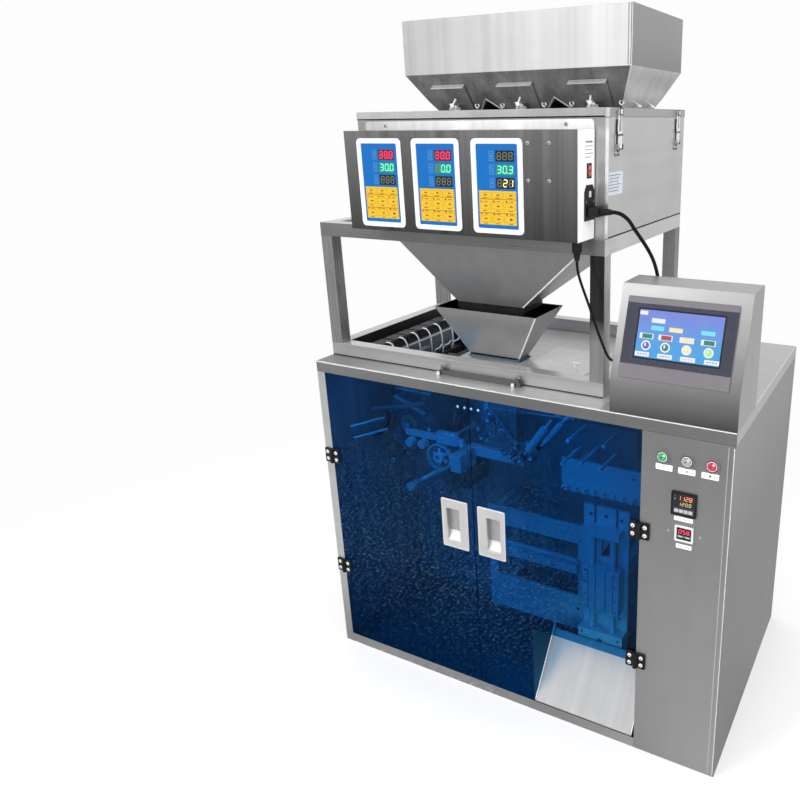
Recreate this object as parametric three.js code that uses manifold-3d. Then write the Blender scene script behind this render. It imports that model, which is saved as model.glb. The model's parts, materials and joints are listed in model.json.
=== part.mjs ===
// Three-head weighing and pouch sealing machine: cabinet, stand, weigher, hopper and touch panel box.
// Millimetres. X runs along the front from left to right, Y from the front to the back, Z up.
// Places are given from the cabinet's front left bottom corner; the last lines move the origin
// to the middle of the footprint at floor level.
import * as THREE from 'three';
import { mergeVertices } from 'three/addons/utils/BufferGeometryUtils.js';
import Module from 'manifold-3d';

const wasm = await Module();
wasm.setup();

// ---- Driving dimensions ----
const GAP = 0.3;                 // between pieces that touch
const SHEET = 2;                 // cabinet sheet metal
const THIN = 1.5;                // hopper and funnel sheet

const W = 966;                   // cabinet width
const D = 578;                   // cabinet depth
const H = 758;                   // cabinet top surface
const LIP = 25;                  // folded edge of the top plate
const EDGE = 22;                 // front return of the left side panel
const SILL = 24;                 // front lip of the base tray
const PANEL_X = 793;             // left edge of the control panel
const WALL_Y = 330;              // front of the mechanism plate
const WALL_TOP = 700;

const DOOR_T = 5;
const DOOR_SPLIT = 411;
const NOTCH = { x: 553, z: 198 };            // cut corner of the right door, over the chute
const HINGE = { tall: 36, reach: 21, r: 5, zs: [227, 526] };
const HANDLE = { wide: 68, tall: 119, z: 428.5, cup: [36, 82, 13], shift: [5, -3.5], off: 45 };

const BUTTONS = { xs: [834, 880, 926], z: 688, r: 10, bezel: 14.5, travel: 3 };
const CONTROLLER = { x: 878, z: 601, side: 48, depth: 60 };
const COUNTER = { x: 881, z: 540, wide: 36, tall: 33, depth: 32 };

const STAND = { x1: 690, y0: 57, y1: 503, top: 1066, tube: 30 };
const BODY = { x0: 132, x1: 690, y0: 59, y1: 502, z1: 1279.4 };
const LID_Z = 1295.6;
const BOX = { x0: 157, x1: 668.5, y0: -14, y1: 56.7, z0: 1069, z1: 1260 };
const DISPLAYS = { xs: [242.5, 375, 508.5], wide: 108, z0: 1077, z1: 1246, r: 9 };
const SWITCH = { y: 32, z: 1190, wide: 13, tall: 20 };
const INLET = { y: 31, z0: 1104, z1: 1166, wide: 38 };
const PLUG = { z: 1120, wide: 27, tall: 18, end: 714 };
const LATCH = { ys: [108, 444], z: 1228, top: 1291.5, half: 9, wire: 1.8, out: 5.5 };

const BIN = { x0: 196, x1: 701, y0: 145, y1: 431, z0: 1368, z1: 1472 };
const MOUTH = { x0: 236, x1: 665, y0: 200, y1: 378, z: 1296 };
const FORK_Z = 1318;             // where the hopper divides into its three outlets
const OUTLET_HALF = 54;

const FUNNEL = {
  top: [150, 658, 92, 470, 1064], low: [269, 440, 190, 282, 884], spout: 866,
};
const THROAT = {
  top: [222, 486, 162, 296, 872], low: [297, 427, 190, 236, 764], neck: 700,
  tube: [312, 412, 196, 230, 640], end: 545,
};
const TOP_OPENING = [34, 280, 100, 460];
const BUCKET = { half: 48, y0: 250, y1: 340, z0: 1165, z1: 1250, flap: 2.5 };

const HMI = { x0: 727, x1: 966, kink: 821, y1: 60, y2: 140, z1: 991 };
const SCREEN = { x: 844, s: 82.5, wide: 204, tall: 150, proud: 4 };

const ROLL = { x: 118, z: 560, r: 80, bore: 12.6, y0: 172, y1: 322 };
const ROLLERS = [[62, 452], [214, 520]];
const JAW = { x0: 286, x1: 438, z0: 508, z1: 532, rods: [300, 424], rod: 6 };
const SLIDE = { x0: 612, x1: 720, z0: 125, z1: 472, y: 138, rods: [641, 691], rodY: 122, rod: 6 };
const CARRIAGE = { x0: 622, x1: 710, z0: 225, z1: 335, y0: 108, y1: 136 };
const CHUTE = { x0: 556, x1: 788, y0: -1, z0: 27, y1: 103, z1: 148, wall: 20 };
const GLAND = { x: 763, y: 170, r: 10, top: 782 };

const CORD_ROUTE = [
  [714.5, 31, 1120], [719, 31, 1120], [729, 35, 1117], [738, 48, 1106], [743, 66, 1088], [749, 86, 1068],
  [755, 107, 1046], [759, 128, 1022], [761, 146, 994], [762, 160, 960], [763, 168, 915],
  [763, 170, 860], [763, 170, 815], [763, 170, 782.3],
];
const CABLE_ROUTE = [
  [650, 22, 1030.7], [651, 22, 1016], [656, 22, 997], [666, 22, 971], [676, 22, 946],
  [685, 22, 922], [694, 22, 899], [703, 22, 878], [711, 22, 861], [718, 22, 852.5],
  [722.5, 22, 851], [726.5, 22, 851],
];
const CORD_D = 7;
const CABLE_D = 5;

// ---- Materials ----
const metal = (color, roughness) => new THREE.MeshStandardMaterial({ color, roughness, metalness: 1 });
const plain = (color, roughness) => new THREE.MeshStandardMaterial({ color, roughness, metalness: 0 });
const steel = metal(0xb8b9ba, 0.35);
const brightSteel = metal(0xd5d6d7, 0.25);
const aluminium = metal(0xc9ced3, 0.4);
const blackPlastic = plain(0x151515, 0.5);
const rubber = plain(0x101010, 0.7);
const tinted = plain(0x0b2c6b, 0.1);
const display = plain(0x1e6fc4, 0.35);
const film = plain(0xd8dde2, 0.3);
const redPlastic = plain(0xc0202a, 0.35);
const greenPlastic = plain(0x1f9a4c, 0.35);

// ---- Solids ----
const machine = new THREE.Group();

function toSolid(geometry) {
  const bare = geometry.clone();
  bare.deleteAttribute('normal');
  bare.deleteAttribute('uv');
  const merged = mergeVertices(bare, 1e-4);
  const vertProperties = new Float32Array(merged.attributes.position.array);
  return new wasm.Manifold(new wasm.Mesh({
    numProp: 3, vertProperties, triVerts: new Uint32Array(merged.index.array),
  }));
}

function toGeometry(solid) {
  const mesh = solid.getMesh();
  const geometry = new THREE.BufferGeometry();
  geometry.setAttribute('position', new THREE.BufferAttribute(new Float32Array(mesh.vertProperties), 3));
  geometry.setIndex([...mesh.triVerts]);
  return geometry;
}

const join = (...solids) => solids.reduce((whole, next) => whole.add(next));
const cut = (solid, ...tools) => tools.reduce((rest, tool) => rest.subtract(tool), solid);

function put(name, solid, material) {
  const mesh = new THREE.Mesh(toGeometry(solid), material);
  mesh.name = name;
  machine.add(mesh);
}

function box(x0, x1, y0, y1, z0, z1) {
  const geometry = new THREE.BoxGeometry(x1 - x0, y1 - y0, z1 - z0);
  return toSolid(geometry.translate((x0 + x1) / 2, (y0 + y1) / 2, (z0 + z1) / 2));
}

// A bar along 'x', 'y' or 'z' from a to b; (p, q) are its two other coordinates in order.
function bar(axis, p, q, a, b, r0, r1 = r0, sides = 20) {
  const geometry = new THREE.CylinderGeometry(r1, r0, b - a, sides).translate(0, (a + b) / 2, 0);
  if (axis === 'x') geometry.rotateZ(-Math.PI / 2).translate(0, p, q);
  if (axis === 'y') geometry.translate(p, 0, q);
  if (axis === 'z') geometry.rotateX(Math.PI / 2).translate(p, q, 0);
  return toSolid(geometry);
}

// An outline in the X-Z plane, given as a THREE.Shape, made solid from y0 to y1.
function plateXZ(shape, y0, y1) {
  const options = { depth: y1 - y0, bevelEnabled: false, curveSegments: 6 };
  const geometry = new THREE.ExtrudeGeometry(shape, options);
  return toSolid(geometry.rotateX(Math.PI / 2).translate(0, y1, 0));
}

// An outline of [y, z] points made solid from x0 to x1.
function prismX(points, x0, x1) {
  const shape = new THREE.Shape(points.map(([y, z]) => new THREE.Vector2(y, z)));
  const geometry = new THREE.ExtrudeGeometry(shape, { depth: x1 - x0, bevelEnabled: false });
  geometry.applyMatrix4(new THREE.Matrix4().set(0, 0, 1, x0, 1, 0, 0, 0, 0, 1, 0, 0, 0, 0, 0, 1));
  return toSolid(geometry);
}

function roundedRect(x0, x1, z0, z1, r) {
  const shape = new THREE.Shape();
  shape.moveTo(x0 + r, z0);
  shape.lineTo(x1 - r, z0).absarc(x1 - r, z0 + r, r, -Math.PI / 2, 0);
  shape.lineTo(x1, z1 - r).absarc(x1 - r, z1 - r, r, 0, Math.PI / 2);
  shape.lineTo(x0 + r, z1).absarc(x0 + r, z1 - r, r, Math.PI / 2, Math.PI);
  shape.lineTo(x0, z0 + r).absarc(x0 + r, z0 + r, r, Math.PI, 1.5 * Math.PI);
  return shape;
}

// A block whose level top and bottom are rectangles [x0, x1, y0, y1, z].
function taper(low, top) {
  const corners = [low, top].flatMap(([x0, x1, y0, y1, z]) => [
    x0, y0, z, x1, y0, z, x1, y1, z, x0, y1, z,
  ]);
  const faces = [0, 2, 1, 0, 3, 2, 4, 5, 6, 4, 6, 7];
  for (let i = 0; i < 4; i += 1) {
    const j = (i + 1) % 4;
    faces.push(i, j, j + 4, i, j + 4, i + 4);
  }
  const geometry = new THREE.BufferGeometry();
  geometry.setAttribute('position', new THREE.Float32BufferAttribute(corners, 3));
  geometry.setIndex(faces);
  return toSolid(geometry);
}

const inset = ([x0, x1, y0, y1, z], t) => [x0 + t, x1 - t, y0 + t, y1 - t, z];
const atZ = (rect, z) => [...rect.slice(0, 4), z];

// A round cord of diameter d through the points.
function cord(points, d, steps, sides) {
  const path = new THREE.CatmullRomCurve3(points.map((p) => new THREE.Vector3(...p)), false, 'centripetal');
  const section = new THREE.Shape();
  for (let i = 0; i < sides; i += 1) {
    const turn = (2 * Math.PI * i) / sides;
    const place = [Math.cos(turn) * d / 2, Math.sin(turn) * d / 2];
    if (i === 0) section.moveTo(...place); else section.lineTo(...place);
  }
  return toSolid(new THREE.ExtrudeGeometry(section, { steps, bevelEnabled: false, extrudePath: path }));
}

// Moves a solid made flat at the origin so that its X, Y and Z follow X, up and out from the foot.
function lean(solid, up, foot) {
  const along = new THREE.Vector3(1, 0, 0);
  const rise = new THREE.Vector3(...up).normalize();
  const frame = new THREE.Matrix4().makeBasis(along, rise, along.clone().cross(rise));
  return toSolid(toGeometry(solid).applyMatrix4(frame.setPosition(...foot)));
}

// ---- Cabinet ----
function cabinet() {
  const under = H - LIP - GAP;
  const boss = bar('z', GLAND.x, GLAND.y, H - 1, GLAND.top, GLAND.r);
  const slot = [THROAT.low[0] - 5, THROAT.low[1] + 5, THROAT.low[2] - 5, THROAT.low[3] + 5];
  const top = cut(
    box(0, W, 0, D, H - LIP, H),
    box(SHEET, W - SHEET, SHEET, D - SHEET, H - LIP - 1, H - SHEET),
    box(...TOP_OPENING, H - LIP, H + 1),
    box(...slot, H - LIP, H + 1),
  );
  put('top_plate', join(top, boss), steel);

  const back = D - SHEET - GAP;
  put('base_tray', join(
    box(SHEET + GAP, W - SHEET - GAP, SHEET + GAP, back - GAP, 0, 3),
    box(EDGE + GAP, PANEL_X - GAP, 0, 3, 0, 3),
    box(EDGE + GAP, PANEL_X - GAP, 0, SHEET, 0, SILL),
  ), steel);
  put('left_side_panel', join(
    box(0, SHEET, 0, back - GAP, 0, under),
    box(0, EDGE, 0, SHEET, 0, under),
  ), steel);
  put('right_side_panel', box(W - SHEET, W, 0, back - GAP, 0, under), steel);

  let rear = box(0, W, back, D, 0, under);
  const slots = { wide: 60, tall: 5, pitch: 16, count: 8 };
  for (const x of [150, 830]) {
    for (let i = 0; i < slots.count; i += 1) {
      const z = 500 + i * slots.pitch;
      rear = cut(rear, box(x - slots.wide / 2, x + slots.wide / 2, back - 1, D + 1, z, z + slots.tall));
    }
  }
  put('rear_panel', rear, steel);

  const rods = [ROLL, ...JAW.rods.map((x) => ({ x, z: (JAW.z0 + JAW.z1) / 2 }))];
  let wall = box(SHEET + GAP, PANEL_X - GAP, WALL_Y, WALL_Y + 6, 3 + GAP, WALL_TOP);
  rods.forEach(({ x, z }, i) => {
    wall = join(wall, bar('y', x, z, 155, WALL_Y + 1, i === 0 ? 12 : JAW.rod));
  });
  for (const [x, z] of ROLLERS) wall = cut(wall, bar('y', x, z, WALL_Y - 1, WALL_Y + 7, 4.5));
  put('mechanism_plate', wall, steel);
}

// ---- Control panel ----
function controlPanel() {
  let panel = join(
    box(PANEL_X, W - SHEET - GAP, 0, SHEET, 0, H - LIP - GAP),
    box(PANEL_X, PANEL_X + SHEET, 0, D - SHEET - 2 * GAP, 3 + GAP, H - LIP - GAP),
  );
  const { x, z, side } = CONTROLLER;
  const half = side / 2;
  panel = cut(
    panel,
    box(x - half + 1.2, x + half - 1.2, -1, 3, z - half + 1.2, z + half - 1.2),
    box(COUNTER.x - 15.4, COUNTER.x + 15.4, -1, 3, COUNTER.z - 13.4, COUNTER.z + 13.4),
  );
  for (const bx of BUTTONS.xs) {
    panel = join(panel, bar('y', bx, BUTTONS.z, -3, 1, BUTTONS.bezel));
    panel = cut(panel, bar('y', bx, BUTTONS.z, -4, 3, BUTTONS.r + 0.6));
  }
  put('control_panel', panel, steel);

  const names = ['power_button', 'start_button', 'stop_button'];
  const finishes = [greenPlastic, brightSteel, redPlastic];
  BUTTONS.xs.forEach((bx, i) => {
    put(names[i], bar('y', bx, BUTTONS.z, -4.5, 24, BUTTONS.r), finishes[i]);
  });
  put('temperature_controller', join(
    plateXZ(roundedRect(x - half, x + half, z - half, z + half, 2), -5, -GAP),
    box(x - half + 1.6, x + half - 1.6, -1, CONTROLLER.depth, z - half + 1.6, z + half - 1.6),
  ), blackPlastic);
  put('batch_counter', join(
    plateXZ(roundedRect(COUNTER.x - 18, COUNTER.x + 18, COUNTER.z - 16.5, COUNTER.z + 16.5, 2), -4, -GAP),
    box(COUNTER.x - 15, COUNTER.x + 15, -1, COUNTER.depth, COUNTER.z - 13, COUNTER.z + 13),
  ), blackPlastic);
}

// ---- Doors: side is -1 for the left door and 1 for the right one ----
function door(name, side) {
  const edge = side < 0 ? EDGE + 2 * GAP : PANEL_X - 2 * GAP;
  const pinX = edge + side * GAP;
  const split = DOOR_SPLIT + side * 0.5;
  const [x0, x1] = [Math.min(edge, split), Math.max(edge, split)];
  const pinY = -HINGE.r - GAP;
  const grip = DOOR_SPLIT + side * HANDLE.off + side * 2;
  const [cupW, cupT, cupD] = HANDLE.cup;
  const cupX = grip + side * HANDLE.shift[0];
  const cupZ = HANDLE.z + HANDLE.shift[1];
  const [gx0, gx1] = [cupX - cupW / 2, cupX + cupW / 2];
  const [gz0, gz1] = [cupZ - cupT / 2, cupZ + cupT / 2];

  let sheet = box(x0, x1, 0, DOOR_T, SILL + 2 * GAP, H - LIP - 2 * GAP);
  sheet = cut(sheet, box(gx0 - 0.4, gx1 + 0.4, -1, DOOR_T + 1, gz0 - 0.4, gz1 + 0.4));
  if (side > 0) sheet = cut(sheet, box(NOTCH.x, x1 + 1, -1, DOOR_T + 1, 0, NOTCH.z));

  // From the pin outwards: near is where the leaf starts, far is its outer edge.
  const span = (way, near, far) => [pinX + way * near, pinX + way * far].sort((a, b) => a - b);
  HINGE.zs.forEach((middle, i) => {
    const low = middle - HINGE.tall / 2;
    const third = HINGE.tall / 3;
    const leaf = (way, z0, z1, knuckles, close) => {
      const plate = box(...span(way, HINGE.r + 0.8, HINGE.reach), pinY, close, z0, z1);
      return knuckles.reduce((solid, [a, b]) => join(
        solid, bar('z', pinX, pinY, a, b, HINGE.r), box(...span(way, 0, HINGE.r + 1), pinY, close, a, b),
      ), plate);
    };
    const doorLeaf = leaf(-side, low, low + HINGE.tall, [[low + third + 0.4, low + 2 * third - 0.4]], 0.5);
    sheet = join(sheet, doorLeaf);
    sheet = cut(sheet, bar('z', pinX, pinY, low - 1, low + HINGE.tall + 1, 2.5));
    const frameLeaf = leaf(
      side, low, low + HINGE.tall, [[low, low + third], [low + 2 * third, low + HINGE.tall]], -GAP,
    );
    put(`${name}_hinge_${i === 0 ? 'lower' : 'upper'}`, join(
      frameLeaf, bar('z', pinX, pinY, low, low + HINGE.tall, 2),
    ), blackPlastic);
  });
  put(name, sheet, tinted);

  put(`${name}_handle`, cut(
    join(
      plateXZ(roundedRect(
        grip - HANDLE.wide / 2, grip + HANDLE.wide / 2,
        HANDLE.z - HANDLE.tall / 2, HANDLE.z + HANDLE.tall / 2, 3,
      ), -3, -GAP),
      box(gx0, gx1, -1, cupD, gz0, gz1),
    ),
    box(gx0 + THIN, gx1 - THIN, -4, cupD - THIN, gz0 + THIN, gz1 - THIN),
  ), aluminium);
}

// ---- Stand ----
function stand() {
  const { x1, y0, y1, top, tube } = STAND;
  const foot = H + GAP;
  const xs = [[0, tube], [x1 - tube, x1]];
  const ys = [[y0, y0 + tube], [y1 - tube, y1]];
  const levels = [[foot, foot + tube], [top - tube, top]];
  const bars = xs.flatMap((x) => ys.map((y) => box(...x, ...y, foot, top)));
  for (const z of levels) {
    for (const y of ys) bars.push(box(0, x1, ...y, ...z));
    for (const x of xs) bars.push(box(...x, y0, y1, ...z));
  }
  put('stand_frame', join(...bars), steel);

  const strip = { x0: 312, x1: 512, y0: 42, tall: 9 };
  put('clamp_bar', join(
    box(strip.x0, strip.x1, strip.y0, y0 - GAP, foot, foot + strip.tall),
    bar('z', strip.x0 + 8, strip.y0 + 6, foot + 1, foot + 16, 4),
    bar('z', strip.x1 - 8, strip.y0 + 6, foot + 1, foot + 16, 4),
  ), steel);
}

// ---- Weigher ----
function weigher() {
  const { x0, x1, y0, y1, z1 } = BODY;
  const floor = STAND.top + GAP;
  let housing = cut(
    box(x0, x1, y0, y1, floor, z1),
    box(x0 + SHEET, x1 - SHEET, y0 + SHEET, y1 - SHEET, floor - 1, z1 + 1),
  );
  housing = join(housing, plateXZ(roundedRect(154, 667, 1080, 1277, 8), y0 - SHEET, y0 + 1));
  for (const y of LATCH.ys) {
    housing = join(
      housing,
      box(x1 - 1, x1 + 1.5, y - 14, y + 14, LATCH.z - 12, LATCH.z + 22),
      box(x1, x1 + 8, y - 14, y - 11, LATCH.z - 5, LATCH.z + 5),
      box(x1, x1 + 8, y + 11, y + 14, LATCH.z - 5, LATCH.z + 5),
    );
  }
  put('weigher_housing', housing, steel);

  let lid = cut(
    box(x0 - 1, x1 + 1, y0 - 1, y1 + 1, z1 + GAP, LID_Z),
    box(x0 + 1, x1 - 1, y0 + 1, y1 - 1, z1, LID_Z - SHEET),
  );
  for (const x of outletCentres()) {
    lid = cut(lid, box(x - 50, x + 50, MOUTH.y0 + 5, MOUTH.y1 - 5, LID_Z - 5, LID_Z + 1));
  }
  for (const y of LATCH.ys) lid = join(lid, box(x1 - 1, x1 + 7, y - 5, y + 5, LID_Z - 13, LID_Z - 9));
  put('weigher_lid', lid, steel);

  LATCH.ys.forEach((y, i) => {
    const wireX = x1 + LATCH.out;
    const arms = [-1, 1].map((s) => (
      bar('z', wireX, y + s * LATCH.half, LATCH.z, LATCH.top, LATCH.wire, LATCH.wire, 12)
    ));
    put(i === 0 ? 'front_latch' : 'rear_latch', join(
      ...arms,
      bar('y', wireX, LATCH.top, y - LATCH.half - 1.5, y + LATCH.half + 1.5, LATCH.wire, LATCH.wire, 12),
      bar('y', wireX, LATCH.z, y - 10.6, y + 10.6, 2.6, 2.6, 12),
      box(wireX - 1.2, wireX + 1.2, y - 9, y + 9, LATCH.z, LATCH.z + 30),
    ), brightSteel);
  });
}

function weighBuckets() {
  const { half, y0, y1, z0, z1, flap } = BUCKET;
  const { x0, x1 } = BODY;
  const rail = [y1 + 4, y1 + 16];
  let bank = box(x0 + SHEET + GAP, x1 - SHEET - GAP, ...rail, z1 - 30, z1 - 5);
  for (const x of outletCentres()) {
    bank = join(bank, cut(
      join(box(x - half, x + half, y0, y1, z0, z1), box(x - 20, x + 20, y1 - 1, rail[1], z1 - 30, z1 - 5)),
      box(x - half + THIN, x + half - THIN, y0 + THIN, y1 - THIN, z0 - 1, z1 + 1),
    ));
  }
  put('weigh_bucket_bank', bank, brightSteel);
  outletCentres().forEach((x, i) => {
    put(`bucket_flap_${i + 1}`, join(
      box(x - half + 1, x + half - 1, y0, y1 + 2, z0 - GAP - flap, z0 - GAP),
      bar('x', y1 + 3, z0 - 2.5, x - half + 1, x + half - 1, 2.2, 2.2, 12),
    ), brightSteel);
  });
}

function controlBox() {
  const { x0, x1, y0, y1, z0, z1 } = BOX;
  put('control_box', cut(
    box(x0, x1, y0, y1, z0, z1),
    box(x0 + THIN, x1 - THIN, y0 + THIN, y1 + 1, z0 + THIN, z1 - THIN),
    box(x1 - 3, x1 + 1, SWITCH.y - 7.5, SWITCH.y + 7.5, SWITCH.z - 11, SWITCH.z + 11),
    box(x1 - 3, x1 + 1, INLET.y - 15, INLET.y + 15, INLET.z0 + 6, INLET.z1 - 6),
  ), steel);
  DISPLAYS.xs.forEach((x, i) => {
    const half = DISPLAYS.wide / 2;
    const shape = roundedRect(x - half, x + half, DISPLAYS.z0, DISPLAYS.z1, DISPLAYS.r);
    put(`display_module_${i + 1}`, plateXZ(shape, y0 - 2, y0 - GAP), display);
  });
  const rocker = { half: SWITCH.wide / 2, rise: SWITCH.tall / 2 };
  put('rocker_switch', box(
    x1 - 4, x1 + 3,
    SWITCH.y - rocker.half, SWITCH.y + rocker.half, SWITCH.z - rocker.rise, SWITCH.z + rocker.rise,
  ), redPlastic);

  const face = x1 + GAP;
  put('power_inlet', cut(
    join(
      box(face, face + 3, INLET.y - INLET.wide / 2, INLET.y + INLET.wide / 2, INLET.z0, INLET.z1),
      box(x1 - 30, face + 1, INLET.y - 14.6, INLET.y + 14.6, INLET.z0 + 6.4, INLET.z1 - 6.4),
    ),
    box(face - 18, face + 4, INLET.y - 13, INLET.y + 13, PLUG.z - 8.5, PLUG.z + 8.5),
  ), blackPlastic);
  put('power_plug', join(
    box(face - 14, face + 4, INLET.y - 12, INLET.y + 12, PLUG.z - 7.6, PLUG.z + 7.6),
    box(face + 3.5, face + 24, INLET.y - PLUG.wide / 2, INLET.y + PLUG.wide / 2,
      PLUG.z - PLUG.tall / 2, PLUG.z + PLUG.tall / 2),
    bar('x', INLET.y, PLUG.z, face + 23, PLUG.end, 7, CORD_D / 2 + 0.6, 20),
  ), rubber);
  put('power_cord', cord(CORD_ROUTE, CORD_D, 40, 10), rubber);

  put('signal_connector', join(
    bar('z', 650, 22, 1046, z0 - GAP, 9, 9, 20),
    bar('z', 650, 22, 1031, 1046.5, 4.2, 7, 20),
  ), blackPlastic);
  put('signal_cable', cord(CABLE_ROUTE, CABLE_D, 36, 8), rubber);
}

// ---- Feed hopper with its three outlets and gates ----
function outletCentres() {
  const third = (MOUTH.x1 - MOUTH.x0) / 3;
  return [0.5, 1.5, 2.5].map((n) => MOUTH.x0 + n * third + (n - 1.5) * 14);
}

function hopperBody(t) {
  const fall = (BIN.z0 - FORK_Z) / (BIN.z0 - MOUTH.z);
  const between = (a, b) => a + (b - a) * fall;
  const rim = [BIN.x0, BIN.x1, BIN.y0, BIN.y1, BIN.z0];
  const fork = [
    between(BIN.x0, MOUTH.x0), between(BIN.x1, MOUTH.x1),
    between(BIN.y0, MOUTH.y0), between(BIN.y1, MOUTH.y1), FORK_Z,
  ];
  const extra = t > 0 ? 1 : 0;
  const solids = [
    taper(inset(rim, t), inset(atZ(rim, BIN.z1 + extra), t)),
    taper(inset(fork, t), inset(rim, t)),
  ];
  const [left, middle, rightmost] = outletCentres();
  const edges = [fork[0], (left + middle) / 2, (middle + rightmost) / 2, fork[1]];
  outletCentres().forEach((x, i) => {
    const upper = [edges[i], edges[i + 1], fork[2], fork[3], FORK_Z];
    const lower = [x - OUTLET_HALF, x + OUTLET_HALF, MOUTH.y0, MOUTH.y1, MOUTH.z + GAP];
    solids.push(taper(inset(lower, t), inset(upper, t)));
    if (t > 0) solids.push(taper(inset(atZ(lower, MOUTH.z - 1), t), inset(lower, t)));
  });
  return join(...solids);
}

function hopper() {
  put('feed_hopper', cut(hopperBody(0), hopperBody(SHEET)), brightSteel);
  const slope = [0, BIN.y0 - MOUTH.y0, BIN.z0 - MOUTH.z];
  outletCentres().forEach((x, i) => {
    const gate = join(
      box(-38, 38, 6, 66, 0.8, 2.8),
      box(-39, 39, 64, 66, 0.8, 12),
      bar('z', 0, 14, 2, 12, 3, 3, 16),
      box(-11, 11, 12, 16, 8, 14),
    );
    put(`slide_gate_${i + 1}`, lean(gate, slope, [x, MOUTH.y0, MOUTH.z]), brightSteel);
  });
}

// ---- Funnels ----
function funnels() {
  const shell = (top, low, end) => (t) => join(
    taper(inset(low, t), inset(top, t)),
    taper(inset(atZ(low, end), t), inset(low, t)),
  );
  const collect = shell(FUNNEL.top, FUNNEL.low, FUNNEL.spout);
  const open = (rect, z0, z1) => taper(inset(atZ(rect, z0), THIN), inset(atZ(rect, z1), THIN));
  put('collecting_funnel', cut(
    collect(0), collect(THIN),
    open(FUNNEL.top, FUNNEL.top[4] - 1, FUNNEL.top[4] + 1),
    open(FUNNEL.low, FUNNEL.spout - 1, FUNNEL.spout + 1),
  ), steel);

  const { top, low, neck, tube, end } = THROAT;
  const throat = (t) => join(
    taper(inset(low, t), inset(top, t)),
    taper(inset(atZ(low, neck), t), inset(low, t)),
    taper(inset(tube, t), inset(atZ(low, neck), t)),
    taper(inset(atZ(tube, end), t), inset(tube, t)),
  );
  put('throat_hopper', cut(
    throat(0), throat(THIN),
    open(top, top[4] - 1, top[4] + 1), open(tube, end - 1, end + 1),
  ), brightSteel);
}

// ---- Touch panel box ----
function touchPanel() {
  const { x0, x1, kink, y1, y2, z1 } = HMI;
  const foot = H + GAP;
  const outline = (t) => [[t, foot - (t > 0 ? 1 : 0)], [t, kink], [y1 + t, z1 - t], [y2 - t, z1 - t],
    [y2 - t, foot - (t > 0 ? 1 : 0)]];
  const face = [0, y1, z1 - kink];
  const { x, s, wide, tall, proud } = SCREEN;
  const flat = (dx, ds, out, back) => lean(
    box(-wide / 2 + dx, wide / 2 - dx, s - tall / 2 + ds, s + tall / 2 - ds, back, out), face, [x, 0, kink],
  );
  put('hmi_box', cut(
    prismX(outline(0), x0, x1), prismX(outline(SHEET), x0 + SHEET, x1 - SHEET), flat(6, 6, 5, -10),
  ), steel);
  put('hmi_panel', join(flat(0, 0, proud, GAP), flat(6.6, 6.6, 1, -28)), blackPlastic);
}

// ---- Mechanism behind the doors ----
function filmFeed() {
  const { x, z, r, bore, y0, y1 } = ROLL;
  put('film_roll', cut(
    join(bar('y', x, z, y0, y1, r, r, 48), bar('y', x, z, y0 - 5, y1 + 4, 24, 24, 32)),
    bar('y', x, z, y0 - 6, y1 + 5, bore, bore, 32),
  ), film);
  ROLLERS.forEach(([rx, rz], i) => {
    put(`guide_roller_${i + 1}`, join(
      bar('y', rx, rz, 160, WALL_Y - 4, 10), bar('y', rx, rz, 155, WALL_Y + 6, 4),
    ), aluminium);
  });
  put('gear_motor', join(
    box(190, 250, 225, WALL_Y - GAP, 380, 440), bar('y', 220, 410, 150, 226, 24, 24, 32),
    bar('y', 220, 410, 140, 151, 5),
  ), blackPlastic);
}

function sealing() {
  const middle = (JAW.z0 + JAW.z1) / 2;
  const jaw = (y0, y1) => cut(
    box(JAW.x0, JAW.x1, y0, y1, JAW.z0, JAW.z1),
    ...JAW.rods.map((x) => bar('y', x, middle, y0 - 1, y1 + 1, JAW.rod + 0.4)),
  );
  put('front_seal_jaw', jaw(176, 196), aluminium);
  put('rear_seal_jaw', jaw(230, 250), aluminium);
}

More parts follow.
